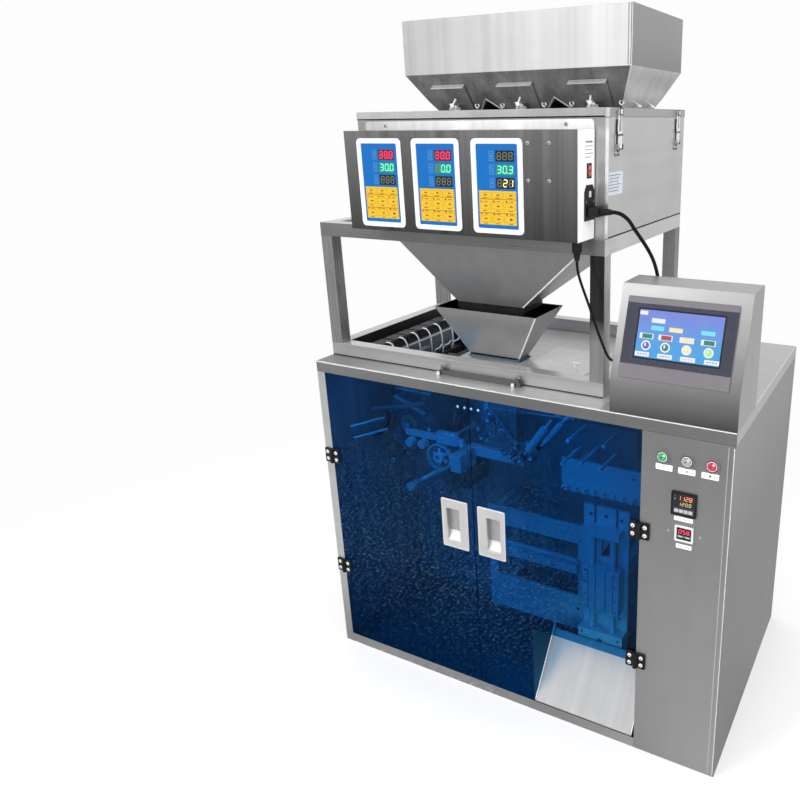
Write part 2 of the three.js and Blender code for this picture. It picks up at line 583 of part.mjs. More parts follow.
function transport() {
  const { x0, x1, z0, z1, y, rods, rodY, rod } = SLIDE;
  const post = (px) => box(px, px + 20, y + 7, WALL_Y - GAP, 300, 330);
  put('slide_unit', join(
    cut(box(x0, x1, y, y + 8, z0, z1), box(656, 676, y - 1, y + 9, 350, 400)),
    box(x0, x1, 108, y + 1, z0, z0 + 47), box(x0 + 13, x1 - 13, 112, y + 1, 410, 430),
    ...rods.map((x) => bar('z', x, rodY, z0 + 40, 415, rod)),
    post(x0 + 8), post(x1 - 28),
  ), aluminium);
  put('carriage', cut(
    box(CARRIAGE.x0, CARRIAGE.x1, CARRIAGE.y0, CARRIAGE.y1, CARRIAGE.z0, CARRIAGE.z1),
    ...rods.map((x) => bar('z', x, rodY, CARRIAGE.z0 - 1, CARRIAGE.z1 + 1, rod + 0.5)),
  ), aluminium);

  const frame = { x0: 330, x1: 592, y0: 186, y1: 192, z0: 96, z1: 380 };
  const stay = (x, z) => box(x, x + 16, frame.y1 - 1, WALL_Y - GAP, z, z + 16);
  let rail = join(
    cut(
      box(frame.x0, frame.x1, frame.y0, frame.y1, frame.z0, frame.z1),
      box(352, 575, frame.y0 - 1, frame.y1 + 1, 290, 332),
      box(352, 575, frame.y0 - 1, frame.y1 + 1, 190, 250),
    ),
    box(345, 580, 168, frame.y0 + 1, 262, 284),
    stay(332, 350), stay(572, 350), stay(332, 110), stay(572, 110),
  );
  for (const x of [390, 455, 520]) rail = cut(rail, bar('y', x, 273, 160, 200, 3.5, 3.5, 12));
  put('transport_frame', rail, aluminium);

  const plate = { x0: 562, x1: 746, y0: 130, z0: 500, z1: 576 };
  let valves = box(plate.x0, plate.x1, plate.y0, plate.y0 + 6, plate.z0, plate.z1);
  for (const x of [575, 733]) valves = join(valves, bar('y', x, 538, plate.y0 + 5, WALL_Y - GAP, 7));
  for (let i = 0; i < 8; i += 1) {
    valves = join(valves, bar('y', 576 + i * 22, 510, plate.y0 - 14, plate.y0 + 1, 4.5, 4.5, 12));
  }
  put('pneumatic_plate', valves, aluminium);

  const { x0: cx0, x1: cx1, y0: cy0, z0: cz0, y1: cy1, z1: cz1, wall } = CHUTE;
  const side = [[cy0, cz0], [cy0, cz0 + 4], [cy1, cz1 + wall], [cy1, cz1]];
  put('discharge_chute', join(
    prismX([[cy0, cz0], [cy0, cz0 + 2], [cy1, cz1 + 2], [cy1, cz1]], cx0, cx1),
    prismX(side, cx0, cx0 + THIN), prismX(side, cx1 - THIN, cx1),
  ), brightSteel);
}

function valveManifold() {
  const bank = { x0: 62, x1: 112, y0: 112, count: 6, pitch: 47, z: 740 };
  const y1 = bank.y0 + bank.count * bank.pitch;
  const comb = [176, 200];
  let solid = join(
    box(bank.x0, bank.x1, bank.y0, y1, bank.z, bank.z + 16),
    box(...comb, bank.y0, y1, WALL_TOP - 18, WALL_TOP + 12),
    box(80, 94, WALL_Y + 1, WALL_Y + 5, WALL_TOP + GAP, bank.z + 1),
  );
  for (let i = 0; i < bank.count; i += 1) {
    const y = bank.y0 + (i + 0.5) * bank.pitch;
    solid = join(
      solid,
      box(bank.x0 + 4, bank.x1 - 4, y - 10, y + 10, bank.z + 15, bank.z + 38),
      cord([
        [bank.x1 - 6, y, bank.z + 28], [bank.x1 + 18, y, bank.z + 30], [bank.x1 + 48, y, bank.z + 22],
        [comb[0] + 9, y, bank.z], [comb[0] + 12, y, WALL_TOP + 11],
      ], 6, 14, 8),
    );
  }
  const slotForPlate = box(comb[0] - 1, comb[1] + 1, WALL_Y - GAP, WALL_Y + 6 + GAP, 600, WALL_TOP + GAP);
  put('valve_manifold', cut(solid, slotForPlate), aluminium);
}

cabinet();
controlPanel();
door('left_door', -1);
door('right_door', 1);
stand();
weigher();
weighBuckets();
controlBox();
hopper();
funnels();
touchPanel();
filmFeed();
sealing();
transport();
valveManifold();

const FRONT = BOX.y0 - 2;        // the display modules' faces stand furthest forward
machine.position.set(-W / 2, -(FRONT + D) / 2, 0);

export default machine;
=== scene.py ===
import json
import math
from types import SimpleNamespace

import bmesh
import bpy
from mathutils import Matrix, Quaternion, Vector


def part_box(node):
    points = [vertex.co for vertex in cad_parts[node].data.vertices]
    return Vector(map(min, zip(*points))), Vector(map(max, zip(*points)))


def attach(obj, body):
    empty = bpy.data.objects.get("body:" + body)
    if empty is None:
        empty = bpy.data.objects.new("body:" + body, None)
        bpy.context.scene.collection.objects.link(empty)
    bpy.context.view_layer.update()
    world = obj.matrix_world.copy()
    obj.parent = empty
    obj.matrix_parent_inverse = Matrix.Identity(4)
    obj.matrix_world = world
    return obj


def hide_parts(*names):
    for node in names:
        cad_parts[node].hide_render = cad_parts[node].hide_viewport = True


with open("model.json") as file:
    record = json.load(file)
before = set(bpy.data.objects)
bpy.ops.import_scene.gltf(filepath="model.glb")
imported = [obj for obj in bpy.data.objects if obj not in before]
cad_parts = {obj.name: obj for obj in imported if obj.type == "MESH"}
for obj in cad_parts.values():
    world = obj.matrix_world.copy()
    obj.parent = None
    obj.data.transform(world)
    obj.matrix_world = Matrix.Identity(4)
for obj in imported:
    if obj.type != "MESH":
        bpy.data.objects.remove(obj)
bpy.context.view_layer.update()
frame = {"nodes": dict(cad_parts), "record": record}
scene = bpy.context.scene
scene.view_settings.view_transform = "Standard"

# Sizes below are millimetres from the cabinet's front left floor corner.
MM = 0.001
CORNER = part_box("left_side_panel")[0] / MM
GAP = 0.3
BODY_OF = {node: body for body, nodes in frame["record"]["behaviour"]["bodies"].items() for node in nodes}


def plate_top():
    """The top plate's upper face: the stand stands a gap above it."""
    return span("stand_frame").z0 - GAP


def place(point):
    """A point in millimetres from the corner, in the row frame in metres."""
    return (CORNER + Vector(point)) * MM


def span(node):
    """The node's box in millimetres from the corner, with its middle."""
    low, high = (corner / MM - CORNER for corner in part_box(node))
    middle = (low + high) / 2
    return SimpleNamespace(
        x0=low.x, y0=low.y, z0=low.z, x1=high.x, y1=high.y, z1=high.z,
        x=middle.x, y=middle.y, z=middle.z,
    )


# ---- Camera ----
camera = bpy.data.objects.new("camera", bpy.data.cameras.new("camera"))
scene.collection.objects.link(camera)
scene.camera = camera
camera.location = place((1221.1, -1190.6, 1270.7))
looks_along = Vector((-0.43647, 0.84648, -0.30490))
roll = Quaternion((0, 0, 1), math.radians(-0.643))
camera.rotation_mode = "QUATERNION"
camera.rotation_quaternion = looks_along.to_track_quat("-Z", "Y") @ roll
camera.data.lens = 33.342
camera.data.shift_x = -0.18952
camera.data.shift_y = -0.04982


# ---- Materials ----
class Finish:
    """A node material built up a step at a time from one Principled node."""

    def __init__(self, name, colour, metallic=0.0, roughness=0.5, **inputs):
        self.material = bpy.data.materials.new(name)
        self.material.use_nodes = True
        self.tree = self.material.node_tree
        self.shader = self.tree.nodes["Principled BSDF"]
        self.colour = (*colour, 1) if len(colour) == 3 else colour
        self.set(self.shader, "Base Color", self.colour)
        self.set(self.shader, "Metallic", metallic)
        self.set(self.shader, "Roughness", roughness)
        for key, value in inputs.items():
            self.set(self.shader, key.replace("_", " "), value)
        self.where = self.tree.nodes.new("ShaderNodeTexCoord").outputs["Object"]

    def set(self, node, key, value):
        socket = node.inputs[key]
        if isinstance(value, bpy.types.NodeSocket):
            self.tree.links.new(value, socket)
        else:
            socket.default_value = value

    def node(self, kind, settings=(), **inputs):
        node = self.tree.nodes.new(kind)
        for key, value in dict(settings).items():
            setattr(node, key, value)
        for key, value in inputs.items():
            self.set(node, key.replace("_", " "), value)
        return node

    def noise(self, scale, stretch=(1, 1, 1), detail=3.0, rough=0.55):
        moved = self.node("ShaderNodeMapping", Vector=self.where, Scale=stretch)
        return self.node(
            "ShaderNodeTexNoise", Vector=moved.outputs[0], Scale=scale, Detail=detail, Roughness=rough,
        ).outputs["Fac"]

    def spread(self, value, low, high, start=0.3, end=0.7):
        """value from start to end becomes low to high."""
        return self.node(
            "ShaderNodeMapRange", Value=value, From_Min=start, From_Max=end, To_Min=low, To_Max=high,
        ).outputs[0]

    def maths(self, way, a, b=0.0):
        node = self.node("ShaderNodeMath", {"operation": way})
        self.set(node, 0, a)
        self.set(node, 1, b)
        return node.outputs[0]

    def mix(self, factor, a, b, way="MIX"):
        node = self.node("ShaderNodeMix", {"data_type": "RGBA", "blend_type": way})
        for index, value in ((0, factor), (6, a), (7, b)):
            if isinstance(value, bpy.types.NodeSocket):
                self.tree.links.new(value, node.inputs[index])
            else:
                node.inputs[index].default_value = value
        return node.outputs[2]

    def tone(self, value, low, high, start=0.3, end=0.7):
        """Multiplies the colour by value spread from low to high."""
        grey = self.spread(value, low, high, start, end)
        self.colour = self.mix(1.0, self.colour, grey, "MULTIPLY")
        self.set(self.shader, "Base Color", self.colour)

    def rough(self, value, low, high):
        self.set(self.shader, "Roughness", self.spread(value, low, high))

    def bump(self, value, depth, strength=1.0):
        self.set(self.shader, "Normal", self.node(
            "ShaderNodeBump", Strength=strength, Distance=depth * MM, Height=value).outputs[0])

    def axis(self, index):
        return self.node("ShaderNodeSeparateXYZ", Vector=self.where).outputs[index]


def steel(name, tone, roughness=0.3, grain="up", streak=0.10, ramp=None, metal=0.7, sweep=None):
    """Brushed steel. grain is its direction; ramp, by height, and sweep, by x, are (mm, tone, mm, tone):
    painted light and shade, a tone gradient that makes the steel lighter or darker along its height or across
    x.
    """
    finish = Finish(name, (tone, tone, tone * 1.005), metal, roughness)
    stretch = {
        "up": (1, 1, 0.006), "across": (0.006, 1, 1), "deep": (1, 0.006, 1), "fall": (1, 0.006, 0.006),
    }[grain]
    lines = finish.noise(900, stretch, 2.0, 0.6)
    bands = finish.noise(34, stretch, 3.0, 0.6)
    cloud = finish.noise(7, (1, 1, 1), 4.0, 0.6)
    finish.tone(bands, 1 - streak, 1 + streak)
    finish.tone(cloud, 0.95, 1.05)
    # ramp and sweep paint light and shade into the tone as gradients.
    if ramp:
        low, dim, high, lit = ramp
        finish.tone(finish.axis(2), dim, lit, low * MM, high * MM)
    if sweep:
        low, dim, high, lit = sweep
        finish.tone(finish.axis(0), dim, lit, (low + CORNER.x) * MM, (high + CORNER.x) * MM)
    blend = finish.maths("ADD", finish.maths("MULTIPLY", lines, 0.6), finish.maths("MULTIPLY", cloud, 0.4))
    finish.rough(blend, roughness - 0.07, roughness + 0.09)
    finish.bump(lines, 0.02, 0.5)
    return finish.material


def plastic(name, colour, roughness=0.45, grain=0.04, **inputs):
    """Moulded plastic or rubber with a fine grain and a little handling wear."""
    finish = Finish(name, colour, 0.0, roughness, **inputs)
    fine = finish.noise(2600, (1, 1, 1), 2.0)
    cloud = finish.noise(30, (1, 1, 1), 4.0)
    finish.tone(cloud, 0.96, 1.04)
    finish.rough(cloud, roughness - 0.05, roughness + 0.08)
    finish.bump(fine, grain, 0.6)
    return finish.material


def lamp(name, colour, strength, spread=0.08):
    """A lit segment, icon or screen area."""
    finish = Finish(name, tuple(c * 0.12 for c in colour), 0.0, 0.35)
    flicker = finish.noise(500, (1, 1, 1), 2.0)
    glow = finish.mix(1.0, (*colour, 1), finish.spread(flicker, 1 - spread, 1 + spread), "MULTIPLY")
    finish.set(finish.shader, "Emission Color", glow)
    finish.set(finish.shader, "Emission Strength", strength)
    return finish.material


def acrylic():
    """Blue tinted clear sheet: it filters what is behind it and mirrors a little of the room."""
    mirror = {"IOR": 2.3, "Specular_Tint": (0.5, 0.75, 1.0, 1)}
    finish = Finish("tinted_acrylic", (0.0, 0.004, 0.02), 0.0, 0.03, **mirror)
    smear = finish.noise(9, (1, 1, 1), 4.0)
    finish.rough(smear, 0.002, 0.012)
    finish.bump(finish.noise(14, (1, 1, 1), 1.0), 0.1, 0.05)
    clear = finish.node("ShaderNodeBsdfTransparent")
    tint = finish.mix(finish.spread(smear, 0, 1), (0.20, 0.63, 0.90, 1), (0.23, 0.66, 0.92, 1))
    finish.set(clear, "Color", tint)
    both = finish.node("ShaderNodeMixShader", Fac=0.82)
    finish.tree.links.new(finish.shader.outputs[0], both.inputs[1])
    finish.tree.links.new(clear.outputs[0], both.inputs[2])
    out = finish.tree.nodes["Material Output"]
    finish.tree.links.new(both.outputs[0], out.inputs["Surface"])
    return finish.material


def screen_glow():
    """The touch screen's background, lilac at the top and cyan at the bottom."""
    finish = Finish("screen_background", (0.01, 0.03, 0.06), 0.0, 0.25)
    low, high = span("hmi_panel").z0 + 60, span("hmi_panel").z1 - 25
    up = finish.spread(finish.axis(2), 0, 1, low * MM, high * MM)
    glow = finish.mix(up, (0.05, 0.33, 0.70, 1), (0.19, 0.21, 0.66, 1))
    soft = finish.mix(finish.spread(finish.noise(40), 0.0, 0.08), glow, (0.4, 0.5, 0.8, 1))
    finish.set(finish.shader, "Emission Color", soft)
    finish.set(finish.shader, "Emission Strength", 0.95)
    return finish.material


# Painted light and shade: ramp and sweep below are tone gradients, and the steels named for a face are
# lighter and darker copies for faces pointing one way. The cabinet steel is painted darker towards the
# bottom, from 700 mm down to 500 mm.
CABINET = steel("cabinet_steel", 0.42, 0.36, "up", 0.03, ramp=(500, 0.75, 700, 0.97))
TRAY = steel("tray_steel", 0.33, 0.4, "across", 0.05)
# Painted light: a lighter copy of the cabinet steel for the sheets' front edges.
EDGE = steel("frame_edge_steel", 0.62, 0.36, "across", 0.04)
WALL = steel("wall_steel", 0.40, 0.4, "up", 0.16, metal=0.5)
# Painted shade: the control panel is painted darker towards the top.
PANEL = steel("panel_steel", 0.44, 0.38, "up", 0.02, ramp=(0, 1.08, 760, 0.60))
# Painted light and shade: the top plate is painted lighter towards the right and its front lip darker towards
# the right; the right deck and the side lip get lighter copies, the front lip a darker one.
TOP = steel("top_plate_steel", 0.52, 0.32, "across", 0.05, sweep=(40, 0.62, 440, 1.5))
TOP_RIGHT = steel("top_plate_right_steel", 0.60, 0.34, "across", 0.05)
TOP_FRONT = steel("top_lip_steel", 0.29, 0.36, "across", 0.05, sweep=(60, 1.0, 420, 0.78))
TOP_SIDE = steel("top_side_steel", 0.62, 0.34, "deep", 0.04)
LEG = steel("leg_steel", 0.37, 0.27, "up", 0.10)
# Painted reflection: the front right leg's front is near black with strong streaks and ten times lighter
# below 865 mm, standing in for a mirror reflection.
LEG_DARK = steel("leg_painted_reflection", 0.04, 0.2, "up", 0.5, ramp=(865, 10.0, 915, 1.0))
# Painted light and shade: lighter and darker copies for the stand's leg sides, beams and rails by direction
# and level.
LEG_SIDE = steel("leg_side_steel", 0.60, 0.28, "up", 0.15)
BEAM = steel("beam_steel", 0.27, 0.30, "across", 0.08)
BEAM_SIDE = steel("side_beam_steel", 0.62, 0.34, "deep", 0.05, metal=0.35)
RAIL = steel("rail_steel", 0.52, 0.32, "across", 0.06)
CLAMP = steel("clamp_steel", 0.16, 0.34, "across", 0.15)
HOUSING = steel("housing_steel", 0.76, 0.40, "deep", 0.03)
# Painted shade: a darker copy of the housing's steel for its front faces.
HOUSING_FRONT = steel("housing_front_steel", 0.42, 0.34, "up", 0.04)
# Painted light and shade: the lid is painted darker towards the right, and its sides get a darker copy.
LID = steel("lid_steel", 0.66, 0.32, "up", 0.07, sweep=(132, 1.0, 690, 0.78))
LID_SIDE = steel("lid_side_steel", 0.56, 0.36, "deep", 0.04)
# Painted light and shade: the control box front is painted near black and lighter towards the top, and its
# right side gets a white copy.
BOX = steel("box_steel", 0.10, 0.33, "up", 0.34, ramp=(1069, 0.75, 1260, 2.1))
BOX_SIDE = steel("box_side_steel", 0.96, 0.4, "up", 0.03, metal=0.0)
# Painted shade: the bracket is painted darker towards the left.
BRACKET = steel("bracket_steel", 0.96, 0.33, "up", 0.12, metal=0.45, sweep=(150, 0.62, 430, 1.0))
FUNNEL = steel("funnel_steel", 0.33, 0.32, "up", 0.05)
# Painted light and shade: a lighter copy for the funnel's right faces and a darker one for the throat's.
FUNNEL_SIDE = steel("funnel_side_steel", 0.38, 0.30, "up", 0.08)
THROAT = steel("throat_steel", 0.40, 0.30, "up", 0.04)
THROAT_SIDE = steel("throat_side_steel", 0.30, 0.30, "up", 0.06)
# Painted light and shade: the hopper is painted lighter towards the right; its right walls get a darker copy,
# its slopes a darker one and their right faces a lighter one.
HOPPER = steel("hopper_steel", 0.76, 0.36, "up", 0.11, sweep=(196, 0.80, 701, 1.22))
HOPPER_SIDE = steel("hopper_side_steel", 0.42, 0.34, "up", 0.03)
SLOPE = steel("hopper_slope_steel", 0.22, 0.30, "up", 0.35)
SLOPE_SIDE = steel("hopper_side_slope_steel", 0.74, 0.32, "up", 0.10)
# Painted light and shade: the display box is painted dark at the bottom and lighter towards the top, and
# darker towards the right; its top and side get their own copies.
HMI_BOX = steel(
    "touch_box_steel", 0.50, 0.36, "across", 0.03, ramp=(760, 0.20, 985, 1.35), sweep=(727, 1.2, 966, 0.84),
)
HMI_TOP = steel("touch_box_top_steel", 0.48, 0.36, "across", 0.06)
HMI_SIDE = steel("touch_box_side_steel", 0.52, 0.36, "up", 0.03)
CHUTE = steel("chute_steel", 0.62, 0.36, "fall", 0.10)
# Bright steel, also used as a painted highlight on stand tops, fold lines and corner strips.
BRIGHT = steel("bright_steel", 0.82, 0.20, "up", 0.05)
# Painted glint: the door catches' screw heads are painted light blue as their glints.
GLINT = plastic("catch_screw_painted_glint", (0.30, 0.52, 0.85), 0.3, 0.01)
CHROME = steel("chrome", 0.88, 0.10, "across", 0.03, metal=0.9)
# Polished fittings, also used as painted highlights and glints on fold lines, caps and handles.
SHINY = steel("polished_fittings_and_painted_highlight", 0.95, 0.18, "across", 0.04, metal=0.4)
# Painted light: a lighter copy for the funnels' upward inside faces.
INNER = steel("funnel_inside_painted_light", 0.42, 0.3, "up", 0.1, metal=0.45)
SPOUT = steel("spout_steel", 0.05, 0.3, "up", 0.15)
ALLOY = steel("machined_alloy", 0.72, 0.36, "across", 0.05, metal=0.35)
ALLOY_UP = steel("drawn_alloy", 0.76, 0.33, "up", 0.05, metal=0.35)
CAST = steel("dark_cast", 0.20, 0.45, "across", 0.08, metal=0.35)
# Blackened iron, also used as painted shadow and dark painted reflection.
IRON_AND_SHADE = steel("blackened_iron_and_painted_shade", 0.035, 0.4, "across", 0.2, metal=0.4)
HANDLE = steel("zinc_handle", 0.62, 0.34, "up", 0.03, metal=0.5)
# Painted shade: a darker copy of the handle's zinc for the inside of its recess.
HANDLE_CUP = steel("zinc_cup_painted_shade", 0.44, 0.34, "up", 0.03, metal=0.5)
BLACK = plastic("black_plastic", (0.010, 0.010, 0.011), 0.42, Specular_IOR_Level=0.3)
# Black rubber for the cords, also used for thin painted shadow lines in gaps.
RUBBER_AND_SHADOW = plastic("black_rubber_and_painted_shadow", (0.005, 0.005, 0.006), 0.5, 0.06, Specular_IOR_Level=0.2)
WHITE = plastic("white_plastic", (0.66, 0.67, 0.69), 0.35, 0.01)
PAPER = plastic("label_paper", (0.90, 0.90, 0.91), 0.6, 0.01)
RATING = plastic("rating_paper", (0.60, 0.66, 0.72), 0.5, 0.01)
INK = plastic("label_ink", (0.10, 0.10, 0.11), 0.6, 0.01)
LABEL_GREY = plastic("label_print", (0.42, 0.42, 0.43), 0.6, 0.01)
BLUE = lamp("display_blue", (0.0, 0.155, 0.53), 0.9)
YELLOW = lamp("key_yellow", (0.93, 0.58, 0.035), 0.85, 0.16)
KEY_EDGE = lamp("key_outline", (0.70, 0.36, 0.01), 0.8)
KEY_INK = plastic("key_ink", (0.10, 0.04, 0.01), 0.5, 0.01)
ICON = lamp("icon_cyan", (0.16, 0.42, 0.72), 0.8)
DARK_GLASS = plastic("dark_window", (0.012, 0.014, 0.014), 0.12, 0.0)
UNLIT = plastic("unlit_segment", (0.12, 0.13, 0.10), 0.3, 0.0)
RED_LAMP = lamp("lit_red", (1.0, 0.04, 0.14), 1.5)
GREEN_LAMP = lamp("lit_green", (0.16, 0.95, 0.55), 1.5)
GREEN_HAZE = lamp("green_haze", (0.02, 0.26, 0.20), 0.9)
RED_HAZE = lamp("red_haze", (0.16, 0.01, 0.03), 0.9)
ORANGE_LAMP = lamp("lit_orange", (1.0, 0.28, 0.14), 1.3)
YELLOW_LAMP = lamp("lit_yellow", (1.0, 0.80, 0.28), 1.5)
GREEN = plastic("green_cap", (0.06, 0.36, 0.13), 0.18, 0.0, Coat_Weight=0.8)
RED = plastic("red_cap", (0.55, 0.03, 0.07), 0.18, 0.0, Coat_Weight=0.8)
AMBER_RED = lamp("rocker_red", (0.75, 0.10, 0.05), 0.35)
BEZEL_GREY = plastic("bezel_grey", (0.135, 0.125, 0.14), 0.4, 0.02)
BEZEL_DARK = plastic("bezel_dark", (0.030, 0.032, 0.050), 0.25, 0.01)
SCREEN = screen_glow()
WHITE_LAMP = lamp("screen_white", (0.72, 0.76, 0.86), 0.95)
CYAN_LAMP = lamp("screen_cyan", (0.16, 0.66, 0.80), 0.95)
CREAM_LAMP = lamp("screen_cream", (0.80, 0.70, 0.40), 0.95)
BRICK_LAMP = lamp("screen_red", (0.42, 0.07, 0.07), 0.9)
LEAF_LAMP = lamp("screen_green", (0.05, 0.22, 0.14), 0.9)
LIME_LAMP = lamp("screen_lime", (0.35, 0.75, 0.20), 0.95)
VIOLET_LAMP = lamp("screen_violet", (0.16, 0.12, 0.36), 0.9)
PINK = lamp("screen_pink", (0.75, 0.35, 0.50), 0.9)
FILM = plastic("packing_film", (0.10, 0.11, 0.13), 0.22, 0.05, Coat_Weight=0.4)
CARD = plastic("card_core", (0.36, 0.26, 0.16), 0.8, 0.08)
HOSE = plastic("air_hose", (0.72, 0.74, 0.75), 0.35, 0.02)
ACRYLIC = acrylic()


# ---- Shapes ----
class Face:
    """A flat frame in millimetres: u across, v up and d out of the surface."""

    def __init__(self, origin, across=(1, 0, 0), up=(0, 0, 1)):
        self.origin = Vector(origin)
        self.across, self.up = Vector(across).normalized(), Vector(up).normalized()
        self.out = self.across.cross(self.up)

    def at(self, u, v, d=0.0):
        return self.origin + self.across * u + self.up * v + self.out * d


def front(x, z, y):
    return Face((x, y, z))


def right(y, z, x):
    return Face((x, y, z), (0, 1, 0))


def above(x, y, z):
    return Face((x, y, z), (1, 0, 0), (0, 1, 0))


def circle(r, u=0.0, v=0.0, sides=32):
    turns = [2 * math.pi * i / sides for i in range(sides)]
    return [(u + r * math.cos(t), v + r * math.sin(t)) for t in turns]


def oblong(wide, tall, r, u=0.0, v=0.0, steps=5):
    """A rectangle with round corners, always with 4 * (steps + 1) points."""
    points = []
    for quarter, (sx, sy) in enumerate(((1, 1), (-1, 1), (-1, -1), (1, -1))):
        for i in range(steps + 1):
            t = math.pi / 2 * (quarter + i / steps)
            points.append((
                u + sx * (wide / 2 - r) + r * math.cos(t), v + sy * (tall / 2 - r) + r * math.sin(t),
            ))
    return points


def centripetal(points, steps):
    """The smooth curve through the points, as evenly stepped points."""
    points = [Vector(p) for p in points]
    points = [2 * points[0] - points[1], *points, 2 * points[-1] - points[-2]]
    curve = []
    for a, b, c, d in zip(points, points[1:], points[2:], points[3:]):
        t0, t1, t2 = ((b - a).length ** 0.5, (c - b).length ** 0.5, (d - c).length ** 0.5)
        start = ((b - a) / t0 - (c - a) / (t0 + t1) + (c - b) / t1) * t1
        end = ((c - b) / t1 - (d - b) / (t1 + t2) + (d - c) / t2) * t1
        for i in range(steps):
            s = i / steps
            curve.append(
                (2 * s**3 - 3 * s**2 + 1) * b + (s**3 - 2 * s**2 + s) * start
                + (3 * s**2 - 2 * s**3) * c + (s**3 - s**2) * end
            )
    return [*curve, points[-2]]


class Piece:
    """Closed shapes in millimetres that become one object."""

    def __init__(self, name):
        self.name = name
        self.mesh = bmesh.new()
        self.materials = []

    def slot(self, material):
        if material not in self.materials:
            self.materials.append(material)
        return self.materials.index(material)

    def loft(self, rings, material, closed=False):
        index = self.slot(material)
        rows = [[self.mesh.verts.new(place(p)) for p in ring] for ring in rings]
        count = len(rows[0])
        pairs = list(zip(rows, rows[1:])) + ([(rows[-1], rows[0])] if closed else [])
        faces = []
        for a, b in pairs:
            for i in range(count):
                j = (i + 1) % count
                faces.append(self.mesh.faces.new((a[i], a[j], b[j], b[i])))
        if not closed:
            faces.append(self.mesh.faces.new(rows[0][::-1]))
            faces.append(self.mesh.faces.new(rows[-1]))
        for face in faces:
            face.material_index = index
        return self

    def stack(self, face, levels, material, closed=False):
        """levels are (outline, depth) pairs from the surface outwards."""
        return self.loft([[face.at(u, v, d) for u, v in outline] for outline, d in levels], material, closed)

    def sleeve(self, face, outer, inner, d0, d1, edge, material):
        """A hollow shape with eased edges; outer(by) and inner(by) give its outlines drawn in by a length."""
        return self.stack(face, [
            (outer(edge), d0), (outer(0), d0 + edge), (outer(0), d1 - edge), (outer(edge), d1),
            (inner(-edge), d1), (inner(0), d1 - edge), (inner(0), d0 + edge), (inner(-edge), d0),
        ], material, closed=True)

    def pad(self, face, wide, tall, r, d0, d1, material, u=0.0, v=0.0, edge=0.4):
        """A raised pad with round corners and eased edges."""
        small = (wide - 2 * edge, tall - 2 * edge, max(r - edge, 0.05), u, v)
        full = (wide, tall, max(r, 0.06), u, v)
        inner, outer = oblong(*small), oblong(*full)
        levels = [(inner, d0), (outer, d0 + edge), (outer, d1 - edge), (inner, d1)]
        return self.stack(face, levels, material)

    def knob(self, face, r, d0, d1, material, u=0.0, v=0.0, edge=0.5, top=None, sides=28):
        """A round boss; top is its outer radius if it tapers."""
        top = top or r
        return self.stack(face, [
            (circle(r - edge, u, v, sides), d0), (circle(r, u, v, sides), d0 + edge),
            (circle(top, u, v, sides), d1 - edge), (circle(top - edge, u, v, sides), d1),
        ], material)

    def ring(self, face, r, bore, d0, d1, material, u=0.0, v=0.0, edge=0.4, sides=36):
        """A round collar with a hole through it."""
        def rim(radius):
            return lambda by: circle(radius - by, u, v, sides)
        return self.sleeve(face, rim(r), rim(bore), d0, d1, edge, material)

    def bezel(self, face, outer, inner, d0, d1, material, edge=0.5):
        """A raised frame between two round-cornered rectangles: (wide, tall, r), or with (u, v) after it."""
        def eased(wide, tall, r, *middle):
            return lambda by: oblong(wide - 2 * by, tall - 2 * by, max(r - by, 0.05), *middle)
        return self.sleeve(face, eased(*outer), eased(*inner), d0, d1, edge, material)

    def screw(self, face, r, d, material, u=0.0, v=0.0, turn=0.4):
        """A pan-head screw with a cross slot."""
        self.stack(face, [
            (circle(r, u, v, 20), d), (circle(r, u, v, 20), d + 0.25 * r),
            (circle(0.86 * r, u, v, 20), d + 0.42 * r), (circle(0.5 * r, u, v, 20), d + 0.52 * r),
        ], material)
        for angle in (turn, turn + math.pi / 2):
            c, s = math.cos(angle), math.sin(angle)
            bar = [(0.5 * r, 0.09 * r), (-0.5 * r, 0.09 * r), (-0.5 * r, -0.09 * r), (0.5 * r, -0.09 * r)]
            outline = [(u + a * c - b * s, v + a * s + b * c) for a, b in bar]
            self.stack(face, [(outline, d + 0.4 * r), (outline, d + 0.54 * r)], BLACK)
        return self

    def plate(self, face, outlines, d0, d1, material):
        """A sheet with holes: the first outline is its edge."""
        index = self.slot(material)
        edges = []
        for outline in outlines:
            ring = [self.mesh.verts.new(place(face.at(u, v, d0))) for u, v in outline]
            edges += [self.mesh.edges.new((a, b)) for a, b in zip(ring, ring[1:] + ring[:1])]
        made = bmesh.ops.triangle_fill(self.mesh, use_beauty=True, edges=edges)["geom"]
        faces = [g for g in made if isinstance(g, bmesh.types.BMFace)]
        grown = bmesh.ops.extrude_face_region(self.mesh, geom=faces, use_keep_orig=True)["geom"]
        moved = [g for g in grown if isinstance(g, bmesh.types.BMVert)]
        bmesh.ops.translate(self.mesh, verts=moved, vec=face.out * (d1 - d0) * MM)
        for g in grown + faces:
            if isinstance(g, bmesh.types.BMFace):
                g.material_index = index
        for vert in moved:
            for g in vert.link_faces:
                g.material_index = index
        return self

    def tube(self, points, r, material, sides=12, widths=None):
        """A round bar or hose along the points."""
        points = [Vector(p) for p in points]
        rings = []
        side = None
        for i, point in enumerate(points):
            ahead = points[min(i + 1, len(points) - 1)] - points[max(i - 1, 0)]
            ahead.normalize()
            if side is None:
                side = ahead.orthogonal().normalized()
            side = (side - ahead * side.dot(ahead)).normalized()
            other = ahead.cross(side)
            wide = r * (widths[i] if widths else 1)
            rings.append([point + (side * a + other * b) * wide for a, b in circle(1, 0, 0, sides)])
        return self.loft(rings, material)

    def rod(self, start, end, r, material, sides=24, edge=0.4):
        a, b = Vector(start), Vector(end)
        step = (b - a).normalized() * edge
        return self.tube([a, a + step, b - step, b], r, material, sides, [1 - edge / r, 1, 1, 1 - edge / r])

